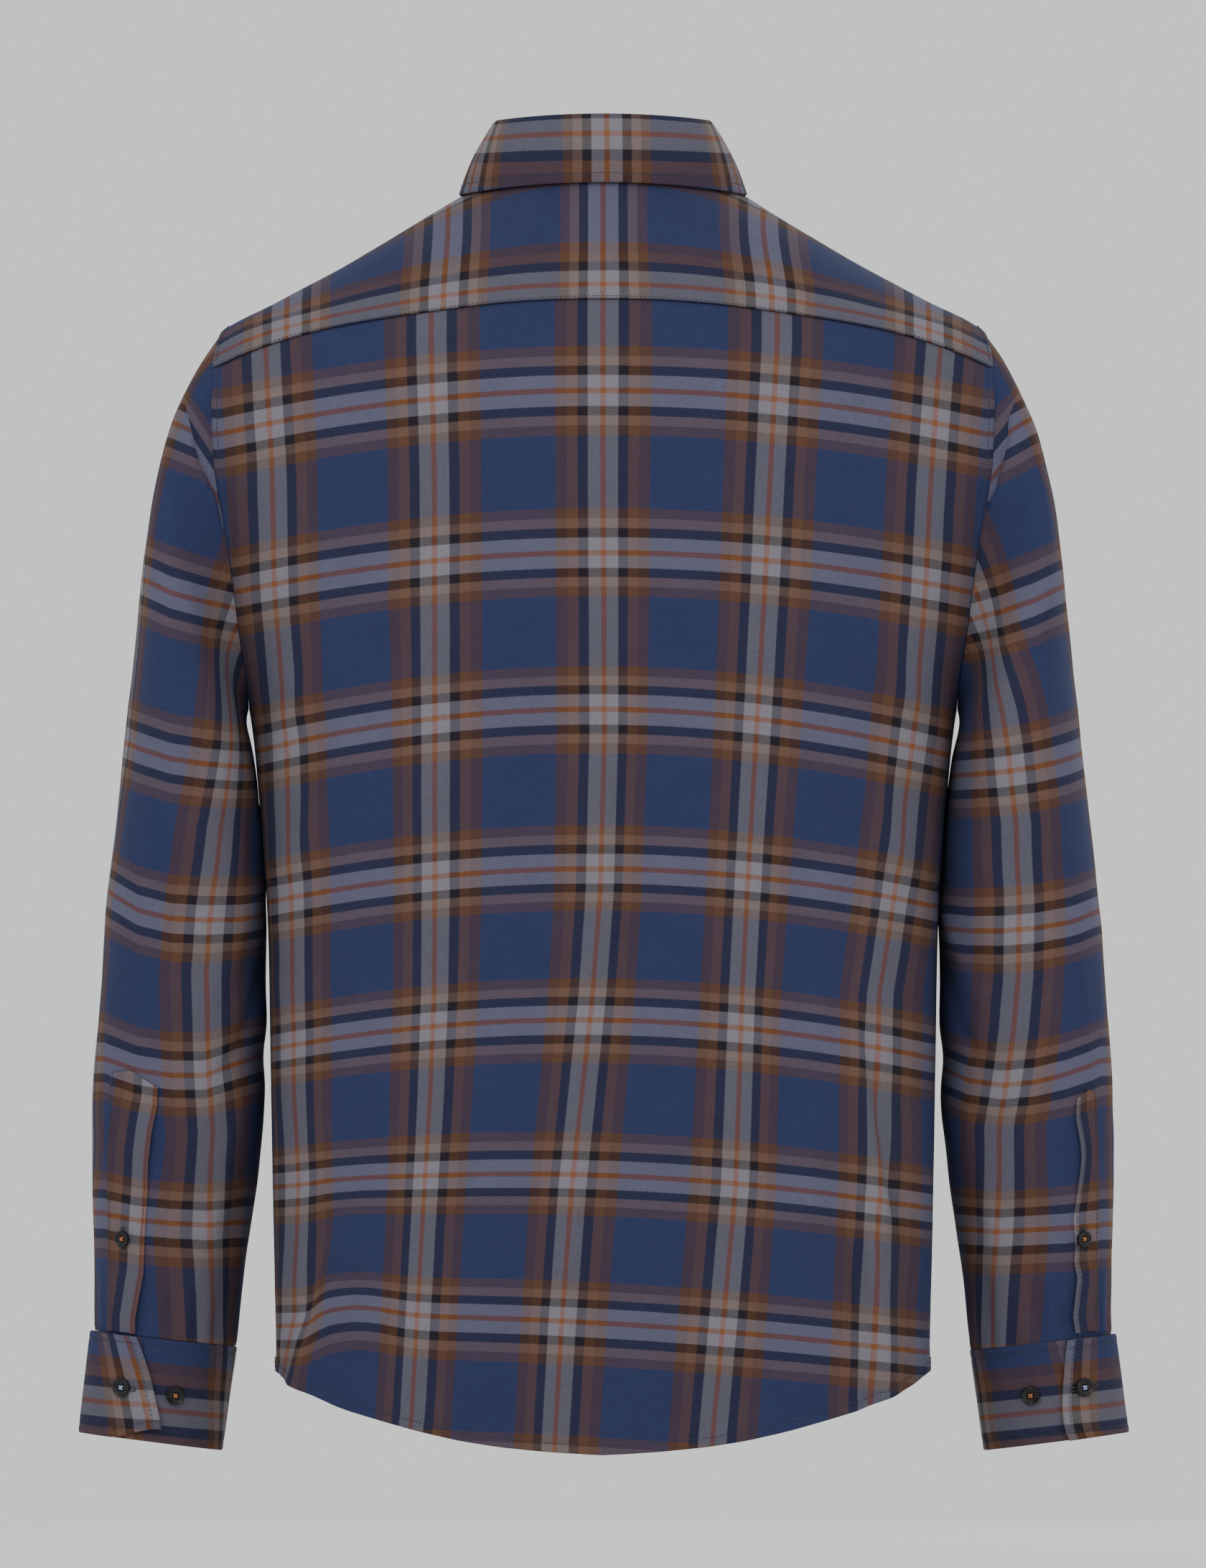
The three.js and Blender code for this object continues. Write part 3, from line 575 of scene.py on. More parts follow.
def fadedEnds(t):
    # a fold's height along its line, which fades just past both ends
    return smooth(t / 0.3 + 0.5) * smooth((1 - t) / 0.3 + 0.5)


def foldLines(a, b, folds):
    # soft folds along short lines: a and b where each starts and ends, its width and its height
    total = 0
    for a0, b0, a1, b1, width, height in folds:
        length = np.hypot(a1 - a0, b1 - b0)
        t = ((a - a0) * (a1 - a0) + (b - b0) * (b1 - b0)) / length ** 2
        off = ((a - a0) * (b1 - b0) - (b - b0) * (a1 - a0)) / length
        total = total + height * bell(off, width) * fadedEnds(t)
    return total


def sewnEdge(distance, run, width, height, pucker):
    # a folded edge: thicker up to its stitches, which pull in a groove, with small puckers along it
    raised = height * (1 - smooth((distance - width + 0.3) / 1.4))
    groove = 0.45 * bell(distance - width + 0.6, 0.7)
    gather = pucker * bell(distance - width, 5) * (np.sin(run / 1.9) + np.sin(run / 3.1 + 1.3)) * 0.5
    return raised - groove + gather


def linked(name, data):
    made = bpy.data.objects.new(name, data)
    bpy.context.scene.collection.objects.link(made)
    return made


def clothMesh(name, points, faces, uvFaces, uv, material):
    data = bpy.data.meshes.new(name)
    data.from_pydata((points * mm).tolist(), [], faces.tolist())
    layer = data.uv_layers.new(name="cloth")
    layer.data.foreach_set("uv", uv[uvFaces.ravel()].astype(np.float32).ravel())
    data.shade_smooth()
    data.materials.append(material)
    data.validate()
    return linked(name, data)


def clothWall(name, points, normals, thickness, u, v, material, lastU=None):
    closed = lastU is not None
    rows, cols = points.shape[:2]
    inner = points - normals * thickness
    everything = np.concatenate([points.reshape(-1, 3), inner.reshape(-1, 3)])
    if closed:
        u = np.concatenate([u, lastU], 1)
        v = np.concatenate([v, v[:, :1]], 1)
    wide = cols + 1 if closed else cols
    uv = np.stack([u.ravel(), v.ravel()], -1)
    uv = np.concatenate([uv, uv])
    j, i = np.meshgrid(np.arange(rows - 1), np.arange(wide - 1), indexing="ij")
    j, i = j.ravel(), i.ravel()

    def vertex(side, j, i):
        return side * rows * cols + j * cols + i % cols

    def corner(side, j, i):
        return side * rows * wide + j * wide + i

    faceParts, uvParts = [], []

    def add(*corners):
        faceParts.append(np.stack([vertex(*c) for c in corners], -1))
        uvParts.append(np.stack([corner(*c) for c in corners], -1))

    add((0, j, i), (0, j, i + 1), (0, j + 1, i + 1), (0, j + 1, i))
    add((1, j, i), (1, j + 1, i), (1, j + 1, i + 1), (1, j, i + 1))
    i0, j0 = np.arange(wide - 1), np.arange(rows - 1)
    first, last = 0 * i0, 0 * i0 + rows - 1
    add((1, first, i0), (1, first, i0 + 1), (0, first, i0 + 1), (0, first, i0))
    add((0, last, i0), (0, last, i0 + 1), (1, last, i0 + 1), (1, last, i0))
    if not closed:
        start, end = 0 * j0, 0 * j0 + cols - 1
        add((0, j0, start), (0, j0 + 1, start), (1, j0 + 1, start), (1, j0, start))
        add((1, j0, end), (1, j0 + 1, end), (0, j0 + 1, end), (0, j0, end))
    faces, uvFaces = np.concatenate(faceParts), np.concatenate(uvParts)
    a, b, c = (everything[faces[:, k]] for k in (0, 1, 2))
    d = everything[faces[:, 3]]
    if (np.sum(a * np.cross(b, c)) + np.sum(a * np.cross(c, d))) < 0:
        faces, uvFaces = faces[:, ::-1], uvFaces[:, ::-1]
    made = clothMesh(name, everything, faces, uvFaces, uv, material)
    flat = np.ones(len(faces), bool)
    flat[2 * len(j):] = False
    made.data.polygons.foreach_set("use_smooth", flat)
    return made


def addFold(made, fold, v):
    data = made.data
    side = data.attributes.new("fold", "FLOAT", "POINT")
    side.data.foreach_set("value", np.tile(fold.ravel(), 2).astype(np.float32))
    base = np.empty(2 * len(data.loops), np.float32)
    data.uv_layers["cloth"].data.foreach_get("uv", base)
    corner = np.empty(len(data.loops), np.int32)
    data.loops.foreach_get("vertex_index", corner)
    base[1::2] = np.tile(v.ravel(), 2)[corner]
    data.uv_layers.new(name="folded").data.foreach_set("uv", base)


def lineAt(points, normals, edge, distance, lift=0.25, part=(0, 1)):
    # points along a panel at a distance from one of its edges, a little above the cloth
    if edge in ("start", "end"):
        points, normals = points.transpose(1, 0, 2), normals.transpose(1, 0, 2)
    if edge in ("top", "end"):
        points, normals = points[::-1], normals[::-1]
    down = lengths(points, 0)

    def atDistance(grid, i):
        return np.array([np.interp(distance, down[:, i], grid[:, i, k]) for k in range(3)])

    found = np.array([atDistance(points, i) + unit(atDistance(normals, i)) * lift
                      for i in range(points.shape[1])])
    first, last = (int(round(share * (len(found) - 1))) for share in part)
    return found[first:last + 1]


def sided(points, side):
    # the right side's pieces are made like the left's and mirrored
    return points * np.array([1 if side == "left" else -1, 1, 1])


# How the check lies on a panel

def stripesOn(points, table, repeat):
    # number of repeats across, from a table of stripe middles at heights, by the length of each row
    table = np.array(table, float)[::-1]
    turn = -1 if points[0, 0, 0] > points[0, -1, 0] else 1
    points = points[:, ::turn]
    # near the sides the cloth lies nearly flat, so there the way forwards counts less
    steps = np.diff(points[..., :2], axis=1)
    share = np.abs(points[:, 1:, 0]) / np.abs(points[..., 0]).max(1, keepdims=True)
    forwards = steps[..., 1] * mix(0.3, 1, smooth((share - 0.975) / 0.02))
    run = np.pad(np.cumsum(np.hypot(steps[..., 0], forwards), 1), ((0, 0), (1, 0)))
    found = np.empty(points.shape[:2])
    for j, row in enumerate(points):
        x = np.maximum.accumulate(row[:, 0])
        marks = np.stack([np.interp(row[:, 2], table[:, 0], table[:, k]) for k in range(5, 0, -1)])
        marks = np.interp(marks, x + np.arange(len(x)) * 1e-6, run[j])
        limit = run[j][-1] - 0.5
        for i, at in enumerate(run[j]):
            known = (marks[:, i] > 0.5) & (marks[:, i] < limit)
            m, k = marks[known, i], np.arange(-2, 3)[known]
            found[j, i] = np.interp(at, m, k) + (min(0, at - m[0]) + max(0, at - m[-1])) / repeat
    return found[:, ::turn]


def bandsOn(points, table):
    # number of repeats down, from a table of band middles with their tilt and sag
    share = np.clip(points[..., 0] / 200, -1.15, 1.15)
    z = points[..., 2]
    lines = [middle + tilt * share - sag * share ** 2 for middle, tilt, sag in table]
    found = np.zeros_like(z) - 2
    for m in range(len(lines) - 1):
        gap = lines[m] - lines[m + 1]
        found += np.clip((lines[m] - z) / gap, 0 if m else -9, 1 if m < len(lines) - 2 else 9)
    return found


def levelArcs(points):
    # how far round the sleeve each point is from its outer line, at its own height; column 0 is that line
    heights = np.arange(-92, -706, -2.0)
    count = points.shape[1]

    def columnAt(i):
        return np.stack([np.interp(-heights, -points[:, i, 2], points[:, i, k]) for k in (0, 1)], -1)

    outline = np.stack([columnAt(i % count) for i in range(count + 1)], 1)
    steps = np.linalg.norm(np.diff(outline, axis=1), axis=-1)
    half = count // 2
    behind = np.pad(np.cumsum(steps[:, :half], 1), ((0, 0), (1, 0)))
    before = np.pad(np.cumsum(steps[:, :half - 1:-1], 1), ((0, 0), (1, 0)))[:, ::-1]

    def take(first, arcs):
        return np.stack([np.interp(-points[:, (first + i) % count, 2], -heights, arcs[:, i])
                         for i in range(half + 1)], 1)

    return take(0, behind), take(half, before)


def crossBands(x, z, places, lines):
    # number of repeats down, from the height of each band's middle at a few places across
    found = np.zeros_like(z)
    at = [np.interp(x, places, line) for line in lines]
    for m in range(len(at) - 1):
        share = (at[m] - z) / (at[m] - at[m + 1])
        found += np.clip(share, 0 if m else -9, 1 if m < len(at) - 2 else 9)
    return found


# Shader maths

class Value:
    # a socket with the ordinary operators, each of which adds a Math node

    def __init__(self, nodes, socket):
        self.nodes, self.socket = nodes, socket

    def math(self, operation, *others):
        return self.nodes.add("ShaderNodeMath", {"operation": operation}, dict(enumerate([self, *others])))

    def __add__(self, other):
        return self.math("ADD", other)

    __radd__ = __add__

    def __sub__(self, other):
        return self.math("SUBTRACT", other)

    def __mul__(self, other):
        return self.math("MULTIPLY", other)

    def clamped(self):
        return self.math("MAXIMUM", 0.0).math("MINIMUM", 1.0)


class Shader:
    # a material's nodes, made by one method

    def __init__(self, name):
        self.material = bpy.data.materials.new(name)
        self.material.use_nodes = True
        self.tree = self.material.node_tree
        self.tree.nodes.clear()

    def add(self, kind, settings=None, inputs=None, output=0):
        node = self.tree.nodes.new(kind)
        for key, value in (settings or {}).items():
            if key == "stops":
                ramp = node.color_ramp
                while len(ramp.elements) > 1:
                    ramp.elements.remove(ramp.elements[-1])
                for n, (position, colour) in enumerate(value):
                    stop = ramp.elements[0] if n == 0 else ramp.elements.new(position)
                    stop.position, stop.color = position, (*colour, 1)
            else:
                setattr(node, key, value)
        for key, value in (inputs or {}).items():
            if isinstance(value, Value):
                self.tree.links.new(value.socket, node.inputs[key])
            else:
                node.inputs[key].default_value = value
        return Value(self, node.outputs[output]) if len(node.outputs) else None

    def mixColour(self, factor, a, b):
        return self.add("ShaderNodeMix", {"data_type": "RGBA"}, {0: factor, 6: a, 7: b}, 2)

    def objectPlace(self):
        return self.add("ShaderNodeTexCoord", None, None, 3)

    def stretched(self, place, by):
        return self.add("ShaderNodeVectorMath", {"operation": "MULTIPLY"}, {0: place, 1: by})

    def scaled(self, colour, by):
        return self.add("ShaderNodeVectorMath", {"operation": "SCALE"}, {0: colour, "Scale": by})

    def bump(self, strength, distance, height):
        inputs = {"Strength": strength, "Distance": distance, "Height": height}
        return self.add("ShaderNodeBump", None, inputs)

    def noise(self, vector, scale, detail=2.0, roughness=0.5):
        return self.add("ShaderNodeTexNoise", {"noise_dimensions": "3D"},
                        {"Vector": vector, "Scale": scale, "Detail": detail, "Roughness": roughness})

    def finish(self, **inputs):
        named = {key.replace("_", " "): value for key, value in inputs.items()}
        surface = self.add("ShaderNodeBsdfPrincipled", None, named)
        self.add("ShaderNodeOutputMaterial", None, {"Surface": surface})
        return self.material


def linear(red, green, blue):
    # an everyday 0 to 255 colour as the shader wants it
    made = []
    for part in (red, green, blue):
        part = part / 255
        made.append(part / 12.92 if part < 0.04045 else ((part + 0.055) / 1.055) ** 2.4)
    return tuple(made)


flannel = {
    "blue": (45, 52, 84), "navy": (36, 31, 38), "light": (108, 104, 106), "orange": (122, 76, 48),
    "warpBrown": (92, 62, 40), "warpRust": (77, 52, 41), "weftTan": (109, 88, 80), "weftPurple": (84, 61, 55),
    "weftLight": (115, 112, 124),
    # width of a herringbone column and of a twill line, and how strong each unevenness is
    "column": 3.6, "pitch": 0.95, "twill": 0.42, "warpShare": 0.53, "nap": 0.16, "fleck": 0.55, "fade": 0.16,
    "brighter": 2.3, "bump": 0.35, "bumpDepth": 0.00025,
    # the noise's stretch for a yarn, and the others' scale, detail and roughness
    "yarnLong": 0.10, "yarnWide": 2.4, "fleckNoise": (1.25, 3.0, 0.7), "fadeNoise": (0.035, 3.0, 0.55),
    # where each colour ends, in millimetres from the middle of the orange line
    "warpEnds": [("orange", 1.6), ("light", 9.1), ("navy", 15.15), ("warpBrown", 21.8), ("warpRust", 28.55),
                 ("blue", 50.75)],
    "weftEnds": [("orange", 1.65), ("weftLight", 9.35), ("navy", 15.0), ("weftTan", 20.85),
                 ("weftPurple", 26.85), ("blue", 48.75)],
}


def checkStops(ends, repeat):
    # the stops of half a repeat's colours, with a soft change of a few yarns between them
    stops, at, soft = [], 0, 0.25
    for name, end in ends:
        stops.append((max(0, at + soft) / (repeat / 2) if at else 0, linear(*flannel[name])))
        stops.append((min(1, (end - soft) / (repeat / 2)), linear(*flannel[name])))
        at = end
    return stops[:-1] + [(1.0, stops[-1][1])]


def flannelMaterial(name):
    s = Shader(name)
    # the sleeves carry a second check, which shows inside the drag fold
    fold = s.add("ShaderNodeAttribute", {"attribute_name": "fold"}, None, 2).math("GREATER_THAN", 0.0)
    flat, folded = (s.add("ShaderNodeUVMap", {"uv_map": layer}) for layer in ("cloth", "folded"))
    place = s.add("ShaderNodeMix", {"data_type": "VECTOR"}, {0: fold, 4: flat, 5: folded}, 1)
    across = s.add("ShaderNodeSeparateXYZ", None, {0: place})
    down = Value(s, across.socket.node.outputs[1])

    def stripes(at, ends, repeat):
        stops = checkStops(flannel[ends], check[repeat])
        return s.add("ShaderNodeValToRGB", {"stops": stops}, {0: at.math("PINGPONG", 0.5) * 2})

    warp, weft = stripes(across, "warpEnds", "warpRepeat"), stripes(down, "weftEnds", "weftRepeat")
    a = across * check["warpRepeat"]
    b = down * check["weftRepeat"]
    # herringbone: a diagonal line that turns back every column
    line = (b + a.math("PINGPONG", flannel["column"])) * (2 * np.pi / flannel["pitch"])
    twill = line.math("SINE")
    place = s.add("ShaderNodeCombineXYZ", None, {0: a, 1: b})
    yarnAcross = s.noise(s.stretched(place, (flannel["yarnWide"], flannel["yarnLong"], 1)), 1.0)
    yarnDown = s.noise(s.stretched(place, (flannel["yarnLong"], flannel["yarnWide"], 1)), 1.0)
    fleck = s.noise(place, *flannel["fleckNoise"])
    faded = s.noise(place, *flannel["fadeNoise"])
    face = (flannel["warpShare"] + twill * flannel["twill"] + (fleck - 0.5) * 0.5).clamped()
    nap = flannel["nap"] * 2
    shade = (1.0 + (yarnAcross - 0.5) * nap + (yarnDown - 0.5) * nap
             + (fleck - 0.5) * flannel["fleck"] * 2 + (faded - 0.5) * flannel["fade"])
    # light yarn on light yarn is brighter than either is on dark yarn
    both = s.add("ShaderNodeVectorMath", {"operation": "DOT_PRODUCT"}, {0: warp, 1: weft}, 1)
    colour = s.scaled(s.mixColour(face, weft, warp), shade + both * flannel["brighter"])
    height = twill * 0.5 + fleck * 1.2 + (yarnAcross + yarnDown) * 0.4
    bump = s.bump(flannel["bump"], flannel["bumpDepth"], height)
    rough = 0.86 + (fleck - 0.5) * 0.14
    return s.finish(Base_Color=colour, Roughness=rough, Normal=bump, Sheen_Weight=0.02, Sheen_Roughness=0.5,
                    Specular_IOR_Level=0.1)


def threadMaterial(name, colour):
    s = Shader(name)
    twist = s.noise(s.objectPlace(), 2600.0)
    return s.finish(Base_Color=s.scaled(linear(*colour), 0.82 + twist * 0.36),
                    Roughness=0.7 + (twist - 0.5) * 0.2, Normal=s.bump(0.4, 0.0001, twist), Sheen_Weight=0.2)


def buttonMaterial(name):
    # near black, clouded and streaked with a little brown
    s = Shader(name)
    place = s.objectPlace()
    cloud = s.noise(place, 160.0, 3.0, 0.6)
    streak = s.noise(s.stretched(place, (1, 1, 5)), 420.0)
    brown = (((cloud * 0.65 + streak * 0.35) - 0.52) * 7).clamped()
    colour = s.mixColour(brown, (*linear(10, 10, 12), 1), (*linear(34, 26, 20), 1))
    return s.finish(Base_Color=colour, Roughness=0.2 + streak * 0.14, Normal=s.bump(0.15, 0.0002, streak),
                    Coat_Weight=0.2 + cloud * 0.1, Coat_Roughness=0.06, Specular_IOR_Level=0.25)


materials = {
    "flannel": flannelMaterial("checked_flannel"),
    "thread": threadMaterial("navy_thread", (40, 42, 56)),
    "tan": threadMaterial("tan_thread", (172, 108, 58)),
    "pale": threadMaterial("pale_blue_thread", (150, 172, 205)),
    "button": buttonMaterial("dark_button"),
}
print("materials made")


# Stitches, laid along lines by Geometry Nodes

stitch = {
    "seam": {"spacing": 2.8, "length": 2.1, "radius": 0.28},
    "buttonhole": {"spacing": 0.5, "length": 0.75, "radius": 0.45},
}


def stitchTree():
    tree = bpy.data.node_groups.new("stitches", "GeometryNodeTree")
    face = tree.interface
    face.new_socket("Geometry", in_out="INPUT", socket_type="NodeSocketGeometry")
    for name in ("spacing", "length", "radius"):
        socket = face.new_socket(name.capitalize(), in_out="INPUT", socket_type="NodeSocketFloat")
        socket.default_value = stitch["seam"][name] * mm
    face.new_socket("Thread", in_out="INPUT", socket_type="NodeSocketMaterial")
    face.new_socket("Geometry", in_out="OUTPUT", socket_type="NodeSocketGeometry")

    def node(kind, inputs=None, **settings):
        made = tree.nodes.new(kind)
        for key, value in settings.items():
            setattr(made, key, value)
        for key, value in (inputs or {}).items():
            if isinstance(value, bpy.types.NodeSocket):
                tree.links.new(value, made.inputs[key])
            else:
                made.inputs[key].default_value = value
        return made

    given = node("NodeGroupInput").outputs
    curve = node("GeometryNodeMeshToCurve", {"Mesh": given["Geometry"]})
    even = node("GeometryNodeResampleCurve", {"Curve": curve.outputs[0], "Length": given["Spacing"]},
                mode="LENGTH")
    half = node("ShaderNodeMath", {0: given["Length"], 1: 2.0}, operation="DIVIDE")
    size = node("ShaderNodeCombineXYZ", {"X": given["Radius"], "Y": given["Radius"], "Z": half.outputs[0]})
    ball = node("GeometryNodeMeshUVSphere", {"Segments": 6, "Rings": 4, "Radius": 1.0})
    shape = node("GeometryNodeTransform", {"Geometry": ball.outputs[0], "Scale": size.outputs[0]})
    tangent = node("GeometryNodeInputTangent")
    turn = node("FunctionNodeAlignRotationToVector", {"Vector": tangent.outputs[0]}, axis="Z")
    laid = node("GeometryNodeInstanceOnPoints", {"Points": even.outputs[0], "Instance": shape.outputs[0],
                                                 "Rotation": turn.outputs[0]})
    real = node("GeometryNodeRealizeInstances", {"Geometry": laid.outputs[0]})
    painted = node("GeometryNodeSetMaterial", {"Geometry": real.outputs[0], "Material": given["Thread"]})
    tree.links.new(painted.outputs[0], node("NodeGroupOutput").inputs[0])
    return tree


stitches = stitchTree()


def sew(name, lines, material, spacing, length, radius):
    # a stitch every so far along the lines
    points = np.concatenate(lines) * mm
    edges, first = [], 0
    for line in lines:
        edges += [(first + k, first + k + 1) for k in range(len(line) - 1)]
        first += len(line)
    data = bpy.data.meshes.new(name + "_lines")
    data.from_pydata(points.tolist(), edges, [])
    path = linked(name + "_lines", data)
    layer = path.modifiers.new("stitches", "NODES")
    layer.node_group = stitches
    sockets = {item.name: item.identifier for item in stitches.interface.items_tree if item.in_out == "INPUT"}
    for key, value in (("Spacing", spacing * mm), ("Length", length * mm), ("Radius", radius * mm),
                       ("Thread", material)):
        layer[sockets[key]] = value
    graph = bpy.context.evaluated_depsgraph_get()
    sewn = bpy.data.meshes.new_from_object(path.evaluated_get(graph))
    bpy.data.objects.remove(path)
    sewn.name = name
    sewn.shade_smooth()
    made = linked(name, sewn)
    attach(made, "root")


# Pieces

def cutOf(points, closed=False):
    # the flat size of a panel's cut, and its area, in metres
    wide = np.concatenate([points, points[:, :1]], 1) if closed else points
    width = lengths(wide, 1)[:, -1].max() * mm
    long = lengths(points, 0)[-1].max() * mm
    a = np.diff(wide, axis=0)[:, :-1]
    b = np.diff(wide, axis=1)[:-1]
    area = np.linalg.norm(np.cross(a, b), axis=-1).sum() * mm * mm
    return (round(float(width), 3), round(float(long), 3)), round(float(min(area, width * long)), 4)


cuts = {}


def clothPiece(node, points, normals, thickness, u, v, lastU=None):
    flat, area = cutOf(points, lastU is not None)
    cuts[node] = (flat, area)
    made = clothWall("shown_" + node, points, normals, thickness, u, v, materials["flannel"], lastU)
    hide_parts(node)
    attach(made, "root")
    return made


def awayFromAxis(points):
    return points * upright


backLook = {
    # x and z at the top and the bottom of each soft fold, its width and height
    "folds": [
        (4, -390, 36, -750, 9, 3.2), (-11, -400, 14, -740, 6, -2.8), (56, -430, 72, -750, 13, 2.8),
        (-48, -470, -34, -740, 11, 3.2), (90, -540, 100, -750, 9, -2.6), (-98, -430, -84, -700, 11, 2.6),
        (126, -520, 146, -700, 10, 3.0), (150, -630, 188, -742, 7, 4.2), (165, -620, 182, -690, 6, -2.8),
        (-158, -510, -176, -622, 4, -3.6), (-148, -505, -167, -625, 7, 3.0),
        (-151, -640, -161, -750, 5, -3.2), (-161, -640, -172, -745, 6, 2.6),
        (-142, -440, -150, -560, 8, -2.0), (-128, -560, -116, -740, 9, 2.4),
        (-5, -395, 0, -470, 4, 2.4), (120, -250, 190, -330, 12, 2.0), (-120, -240, -190, -320, 12, 2.2),
        (150, -330, 188, -420, 9, 1.8), (-140, -330, -185, -420, 9, 1.9),
    ],
    "wave": 0.8,
}


def makeBack():
    points = backGrid()
    away = awayFromAxis(points)
    normals = gridNormals(points, away)
    edge = edgeDistances(points)
    x, z = points[..., 0], points[..., 2]
    # the lower corner at the wearer's left is dragged outwards and down
    low = bell(z + 690, 60)
    pulled = points - upright * (low * (5 * bell(x - 146, 24) - 6.5 * smooth((x - 160) / 22)))[..., None]
    u = stripesOn(points, check["backStripes"], check["warpRepeat"])
    u -= 0.115 * smooth((-680 - z) / 45) * bell(x - 172, 18)
    v = bandsOn(pulled, check["backBands"])
    inArmhole = smooth((z - sewing["armholeFrom"]) / 6)
    side = np.minimum(edge["start"], edge["end"])
    calm = smooth(side / 25) * smooth(edge["top"] / 40)
    height = foldLines(x, z, backLook["folds"]) * smooth(side / 14)
    height += backLook["wave"] * ripple(x, z, 3) * calm * smooth(edge["bottom"] / 20 + 0.4)
    height += sewnEdge(edge["bottom"], edge["start"], sewing["hem"], 0.8, 0.5)
    height += sewnEdge(side, edge["bottom"], sewing["fell"], 0.7, 0.3) * inArmhole
    height -= 0.5 * (1 - smooth(edge["top"] / 3))
    points = points + normals * height[..., None]
    normals = gridNormals(points, away)
    clothPiece("back", points, normals, cloth["thickness"], u, v)
    upper = slice(np.nonzero(z[:, 0] > sewing["armholeFrom"] - 2)[0][0], None)
    return [
        lineAt(points, normals, "bottom", sewing["hem"]),
        lineAt(points[upper], normals[upper], "start", sewing["fell"]),
        lineAt(points[upper], normals[upper], "end", sewing["fell"]),
    ]


yokeLook = {
    # how far out the first stripe lies at the seam and over the shoulder, and the next ones' spacing
    "left": (95.8, 93.3), "right": (101.5, 96.5), "spacing": 94.4,
    # height of the band above the seam
    "bandAbove": 9.6,
}


def overShoulder():
    # how far the cloth has run forwards from the back, at constant x, over the top of the body
    stepX, stepY, lowest, count = 5.0, 2.5, 9, 100
    xs, ys = np.arange(-250, 251, stepX), np.arange(125, -126, -stepY)
    levels = np.linspace(lowest, body["neck"], count)
    w, back, front, *_, square = along(body["rings"], levels)
    deep = np.where(ys[:, None] > 0, back, front)[:, None]
    out = (np.abs(xs)[None, :, None] / w) ** square + (np.abs(ys)[:, None, None] / deep) ** square
    at = np.clip((out < 1).sum(-1) - 1, 0, count - 2)[..., None]
    before, after = (np.take_along_axis(out, at + k, -1)[..., 0] for k in (0, 1))
    share = np.clip((1 - before) / np.where(after == before, 1, after - before), 0, 1)
    top = mix(lowest, body["neck"], (at[..., 0] + share) / (count - 1))
    w, _, _, zSide, zBack, zFront, square = along(body["rings"], top)
    cosine = np.minimum(1, np.abs(xs)[None] / w) ** (square / 2)
    z = zSide + (np.where(ys[:, None] > 0, zBack, zFront) - zSide) * (1 - cosine ** 2)
    run = np.cumsum(np.pad(np.hypot(np.diff(z, axis=0), stepY), ((1, 0), (0, 0))), axis=0)

    def runAt(x, y):
        i = np.clip((x - xs[0]) / stepX, 0, len(xs) - 1.001)
        j = np.clip((ys[0] - y) / stepY, 0, len(ys) - 1.001)
        i0, j0 = i.astype(int), j.astype(int)
        upper = mix(run[j0, i0], run[j0, i0 + 1], i - i0)
        return mix(upper, mix(run[j0 + 1, i0], run[j0 + 1, i0 + 1], i - i0), j - j0)

    return runAt


def makeYoke():
    points = yokeGrid()
    away = awayFromAxis(points) - 260 * upright
    normals = gridNormals(points, away)
    edge = edgeDistances(points)
    x, y, z = points[..., 0], points[..., 1], points[..., 2]
    count = len(spaced("yokeEnd", end=False)) - 1
    runAt = overShoulder()
    seam = points[0, count:-count]
    seam = seam[np.argsort(seam[:, 0])]
    seamRun = runAt(x, np.interp(x, seam[:, 0], seam[:, 1]))
    v = (yokeLook["bandAbove"] - runAt(x, y) + seamRun) / check["warpRepeat"]
    up = smooth((z + 74) / 45)
    one = np.where(x > 0, mix(*yokeLook["left"], up), mix(*yokeLook["right"], up))
    beyond = np.maximum(0, np.abs(x) - one)
    u = np.sign(x) * (np.minimum(np.abs(x), one) / one + beyond / yokeLook["spacing"])
    columns = np.arange(points.shape[1])
    atEnds = (columns < count) | (columns >= points.shape[1] - count)
    calm = smooth(edge["bottom"] / 12) * smooth(edge["top"] / 12)
    height = 0.5 * ripple(x, y * 1.4 + z * 0.6, 8) * calm
    height += np.where(atEnds, sewnEdge(edge["bottom"], edge["start"], sewing["fell"], 0.7, 0.25),
                       0.9 * (1 - smooth((edge["bottom"] - sewing["yoke"]) / 4)))
    points = points + normals * height[..., None]
    normals = gridNormals(points, away)
    # the yoke, the collar and the cuffs are cut across the cloth
    clothPiece("yoke", points, normals, cloth["thickness"], v, u)
    first, last = count / len(columns), 1 - count / len(columns)
    return [
        lineAt(points, normals, "bottom", sewing["yoke"], part=(first, last)),
        lineAt(points, normals, "bottom", sewing["fell"], part=(0, first)),
        lineAt(points, normals, "bottom", sewing["fell"], part=(last, 1)),
        lineAt(points, normals, "start", sewing["yoke"]),
        lineAt(points, normals, "end", sewing["yoke"]),
    ]


frontLook = {
    "folds": [
        (60, -430, 74, -735, 12, 2.4), (110, -520, 124, -730, 11, -2.0), (150, -470, 160, -715, 10, 2.2),
        (90, -260, 150, -340, 13, 1.4), (40, -560, 36, -740, 10, 1.6),
    ],
    "wave": 0.8, "stripe": 27.0,
    # how far each front lies inwards at the button band, how thick its hem is, and its waves' seed
    "left": (0.0, 0.6, 12), "right": (1.7, 0.7, 11),
}


